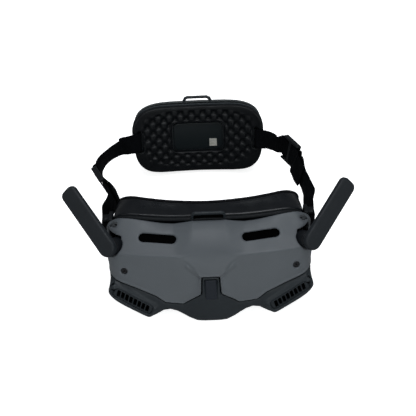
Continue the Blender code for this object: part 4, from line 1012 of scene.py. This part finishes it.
def ribbon(name, path, widths, lift, waves, nodes):
    """A woven band along a path, lifted off it and slightly wavy, with rounded edges."""
    line = np.array(smooth_line([tuple(p) for p in path], 4))
    wide = np.array(smooth_line([tuple(w) for w in widths], 4))
    along = np.gradient(line, axis=0)
    along /= np.linalg.norm(along, axis=1)[:, None]
    wide -= along * (wide * along).sum(1)[:, None]
    wide /= np.linalg.norm(wide, axis=1)[:, None]
    normal = np.cross(along, wide)
    run = np.concatenate([[0], np.cumsum(np.linalg.norm(np.diff(line, axis=0), axis=1))])
    near = np.interp(run, *waves)  # how wavy the band is along its run
    half, thick, n = STRAP_WIDTH / 2, STRAP_THICK / 2, 14
    section = [(-half + 2 * half * i / n, thick) for i in range(n + 1)]
    section += [(half - 2 * half * i / n, -thick) for i in range(n + 1)]
    points, places = [], []
    for u, v in section:
        edge = 1 - 0.45 * (abs(u) / half) ** 10
        curl = near * (0.45 * np.sin(run / 9.5 + u * 0.21) + 0.25 * np.sin(run / 4.3 - u * 0.35))
        points.append(line + wide * u + normal * (v * edge + curl + lift)[:, None])
        places.append(np.stack([run, 0 * run + u + half + (30 if v < 0 else 0)], 1))
    points, places = np.stack(points, 1), np.stack(places, 1)
    rows, m = points.shape[:2]
    caps = []
    for row in (0, rows - 1):
        for k in range(n):
            a, c = row * m + k, row * m + 2 * n + 1 - k
            quad = [a, a + 1, c - 1, c]
            caps.append(quad if row else quad[::-1])
    faces = np.concatenate([tube_faces(rows, m, False), np.array(caps)])
    flat = points.reshape(-1, 3)
    obj = object_of(name, flat, faces)
    layer = obj.data.uv_layers.new(name="UVMap")
    corner = np.zeros(len(obj.data.loops), np.int32)
    obj.data.loops.foreach_get("vertex_index", corner)
    layer.data.foreach_set("uv", (places.reshape(-1, 2)[corner] * MM).astype(np.float32).ravel())
    return shown(obj, WEBBING, nodes)


def build_straps():
    for side, sign in SIDES:
        slider = SLIDER_AT[side]
        path, widths, frame_at = strap_path(sign, STRAP_LINES[side], slider)
        length = sum((b - a).length for a, b in zip(path, path[1:]))
        at = sum((b - a).length for a, b in zip(path[:slider], path[1:slider + 1]))
        waves = ([0, 34, 44, at - 30, at - 14, at + 14, at + 24, length - 30, length - 20],
                 [0, 0, 0.9, 1.0, 0, 0, 0.6, 0.4, 0])
        ribbon(f"strap_{side}_band", path, widths, 0, waves, [f"strap_{side}"])
        outside = (path[slider + 1] - path[slider]).cross(widths[slider]).x * sign
        inward = -math.copysign(1, outside)
        low = slider - (15 if sign > 0 else 11)
        tail = path[low:slider + 2]
        spots, lifts = [0, 0.2, 0.45, 0.7, 0.85, 1], [2.2, 3.6, 4.4, 3.0, 1.8, 1.7]
        amount = np.interp(np.linspace(0, 1, (len(tail) - 1) * 4 + 1), spots, lifts) * inward
        ribbon(f"strap_{side}_loose_end", tail, widths[low:slider + 2], amount,
               ([0, 10, 40, 60], [1.2, 0.8, 0.2, 0]), [])
        build_slider(side, frame_at)


def build_slider(side, at):
    lift = STRAP_THICK / 2 + GAP
    half, deep, reach = STRAP_WIDTH / 2 + 2.8, lift + 1.6, SLIDER_LENGTH / 2
    block = Block((-15, -13.5, -4), (15, 13.5, 4), 0.4,
                  bar((half - 2.2, half), (-reach, reach), (-deep, deep), 1.0))
    block.add(bar((-half, 2.2 - half), (-reach, reach), (-deep, deep), 1.0), 0.3)
    for y, z in (((-1.8, 1.8), (lift, deep)), ((reach - 3, reach), (-deep, -lift)),
                 ((-reach, 3 - reach), (-deep, -lift))):
        block.add(bar((1 - half, half - 1), y, z, 0.75), 0.9)
    grown(f"strap_slider_{side}_buckle", block, BUCKLE, [f"strap_slider_{side}"], at)


# ---------------- turned pieces and the panel

def lathe(name, profile, at, finish, nodes, body="goggles", segments=96):
    """A turned piece from (radius, height) points, ending on its axis or closed on itself."""
    rings = []
    for r, h in profile:
        a = np.arange(segments) * math.tau / segments
        rings.append(np.stack([r * np.cos(a), r * np.sin(a), h + 0 * a], 1))
    closed = profile[0] == profile[-1]
    rings = np.array(rings[:-1] if closed else rings)
    faces = tube_faces(len(rings), segments, closed)
    obj = object_of(name, moved(rings.reshape(-1, 3), at), faces)
    mesh = obj.data
    work = bmesh.new()
    work.from_mesh(mesh)
    bmesh.ops.remove_doubles(work, verts=work.verts, dist=2e-6)
    bmesh.ops.recalc_face_normals(work, faces=work.faces)
    work.to_mesh(mesh)
    work.free()
    mesh.set_sharp_from_angle(angle=math.radians(50))
    return shown(obj, finish, nodes, body)


def build_lens_panel():
    """The plate behind the eyepieces, with a rimmed hole for each eye."""
    panel = Block((-82, 8.6, 0), (82, 13.4, 73), 0.5)
    x, y, z = panel.grid
    outline = smooth_line(mirrored(REAR_OUTLINE), 4, closed=True)
    edge = polygon(outline, x, z) + 2.6
    holes = np.minimum(*(polygon(rounded(43.4, 35.4, 17.6, (EYE_X * sign, EYE_Z), 14), x, z)
                         for _, sign in SIDES))
    body = smax(edge + 0 * y, np.abs(y - 11) - 0.8, 0.6)
    rim = smax(np.abs(holes - 1.4) - 1.1, np.abs(y - 11.6) - 0.9, 0.8)
    body = smin(body, rim, 1.2)
    panel.v = smax(body, -holes, 0.8)
    grown("lens_panel_plate", panel, HOUSING, ["lens_panel"])
    lathe("proximity_window_cover", [
        (0, 12.1), (2.5, 12.1), (2.6, 12.2), (2.6, 12.8), (2.4, 13.0), (0, 13.1),
    ], along_y(0, 52), GLASS, ["proximity_window"])


def build_eyepieces():
    for side, sign in SIDES:
        at = along_y(EYE_X * sign, EYE_Z)
        dome = [(14.4 * math.sin(math.radians(a)), 10.7 - 2.6 * (1 - math.cos(math.radians(a))))
                for a in range(90, -1, -6)]
        lathe(f"lens_{side}_dome", [(0, 6.6), (14.2, 6.6), (14.4, 6.8), *dome], at, GLASS,
              [f"lens_{side}"], f"lens_{side}")
        lathe(f"lens_ring_{side}_bezel", [
            (14.9, 13.4), (15.0, 14.2), (15.5, 14.9), (16.2, 15.0), (16.7, 14.7), (16.8, 14.2),
            (16.8, 13.4), (14.9, 13.4),
        ], at, RUBBER, [f"lens_ring_{side}"], f"eyepiece_{side}")
        knob = Block((-9, -9, 5.6), (9, 9, 20), 0.36)
        x, y, z = knob.grid
        angle, radius = np.arctan2(y, x), np.sqrt(x * x + y * y)
        knurl = 0.22 * np.cos(36 * angle) * step(6.2, 7.2, radius)
        knob.v = disc(HERE, 7.7, 6.2, 15.5, 0.9)(x, y, z) + knurl
        knob.add(disc(HERE, 2.0, 14, 19.4, 0.3), 0.4)
        knob.cut(box(shift((0, -5.4, 6.2)), (0.55, 2.6, 0.6), 0.2), 0.4)
        knob.cut(disc(HERE, 3.4, 5, 6.7, 0.2), 0.6)
        grown(f"diopter_knob_{side}_wheel", knob, RUBBER, [f"diopter_knob_{side}"],
              shift((EYE_X * sign, KNOB_Y, 0)), f"diopter_knob_{side}")


def build_buttons():
    for name, sign in (("back_button", 1), ("link_button", -1)):
        lathe(f"{name}_cap", [
            (0, -1.1), (1.2, -1.05), (1.8, -0.8), (2.0, -0.4), (2.05, 2.5), (2.9, 2.6),
            (2.9, 3.1), (0, 3.1),
        ], shift((35.5 * sign, 6.4, 12.3)), RUBBER, [name], name, 48)
    lathe("power_button_cap", [
        (0, 26.4), (5.6, 26.4), (5.6, 27.5), (4.0, 27.6), (4.0, 30.1), (3.85, 30.5), (3.4, 30.75),
        (2.9, 30.7), (2.6, 30.45), (0, 30.35),
    ], BATTERY @ along_y(0, 38), RUBBER, ["power_button"], "power_button")


def finish_frame_nodes():
    """Finishes for the frame's own solids that stay in view or inside."""
    kept = {
        STEEL: ["hinge_pin_left", "hinge_pin_right", "audio_socket", "usb_socket",
                "guide_rail_upper", "guide_rail_lower"],
        SCREW: ["cover_screw_left", "cover_screw_right"],
        HOUSING: ["optics_carriage_left", "optics_carriage_right", "fan_frame"],
        RUBBER: ["fan_impeller"],
        GLASS: ["display_left", "display_right"],
        ALUMINIUM: ["heat_sink"],
        BOARD: ["mainboard", "battery_board"],
        CELL: ["battery_cell_upper", "battery_cell_lower"],
        LIGHTS: ["charge_lights"],
    }
    for material_used, names in kept.items():
        for name in names:
            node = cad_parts[name]
            node.data.materials.clear()
            node.data.materials.append(material_used)
            weld = node.modifiers.new("weld", "WELD")
            weld.merge_threshold = 1e-6
            edges = node.modifiers.new("edges", "BEVEL")
            edges.width = 0.15 * MM
            edges.segments = 2
            edges.limit_method = "ANGLE"
            edges.angle_limit = math.radians(40)
            edges.use_clamp_overlap = True


# ---------------- camera, lights and floor

CAMERA, AIM, ROLL = (0, -0.440, 0.525), (0, 0.055, 0.030), math.radians(-2.2)


def aimed(name, data, place, target, roll=0):
    """A camera or a light in its place, looking at a point."""
    obj = linked(name, data)
    place, target = Vector(place), Vector(target)
    look = (target - place).to_track_quat("-Z", "Y").to_matrix().to_4x4()
    obj.matrix_world = shift(place) @ look @ Matrix.Rotation(roll, 4, "Z")
    return obj


def build_camera():
    camera = bpy.data.cameras.new("camera")
    camera.lens, camera.sensor_width = 65.2, 36
    camera.clip_start, camera.clip_end = 0.01, 30
    bpy.context.scene.camera = aimed("camera", camera, CAMERA, AIM, ROLL)


def build_lights():
    for name, place, target, size, energy, colour in (
        ("overhead", (0.1, 0.1, 1.3), (0, 0.03, 0), (0.8, 0.6), 11, (0.93, 0.96, 1)),
        ("left_fill", (-1.3, -0.7, 0.9), (0, 0, 0.05), (0.7, 0.7), 3.5, (0.96, 1, 0.98)),
        ("right_fill", (1.3, -0.7, 0.9), (0, 0, 0.05), (0.7, 0.7), 4, (0.96, 1, 0.98)),
        ("front", (0.1, -1.4, 0.7), (0, 0, 0.05), (0.9, 0.6), 6, (0.95, 0.99, 1)),
    ):
        light = bpy.data.lights.new(name, "AREA")
        light.shape = "RECTANGLE"
        light.size, light.size_y = size
        light.energy, light.color = energy, colour
        aimed(name, light, place, target)
    world = bpy.data.worlds.new("studio")
    world.use_nodes = True
    fill(world.node_tree.nodes["Background"], Color=(0.96, 0.98, 1, 1), Strength=0.22)
    bpy.context.scene.world = world
    bpy.context.scene.view_settings.view_transform = "Standard"


def build_floor():
    size, low = 3.0, START[0][2] - 0.9 * MM
    mesh = bpy.data.meshes.new("floor")
    mesh.from_pydata([(-size, -size, low), (size, -size, low), (size, size, low),
                      (-size, size, low)], [], [(0, 1, 2, 3)])
    floor = linked("floor", mesh)
    made = bpy.data.materials.new("pale_floor")
    made.use_nodes = True
    fill(made.node_tree.nodes["Principled BSDF"], Base_Color=(0.9, 0.9, 0.9, 1), Roughness=0.9,
         Emission_Color=(1, 1, 1, 1), Emission_Strength=0.8)
    floor.data.materials.append(made)
    floor.visible_glossy = False


def main():
    build_camera()
    build_lights()
    build_floor()
    build_casing()
    for side, sign in SIDES:
        build_grille(side, sign)
        build_intake(side, sign)
        build_antenna(side, sign)
        build_anchor(side, sign)
    build_nose_trim()
    build_rings()
    build_top_loop()
    build_straps()
    build_pad()
    build_battery_shells()
    build_battery_details()
    build_lens_panel()
    build_eyepieces()
    build_buttons()
    finish_frame_nodes()


main()
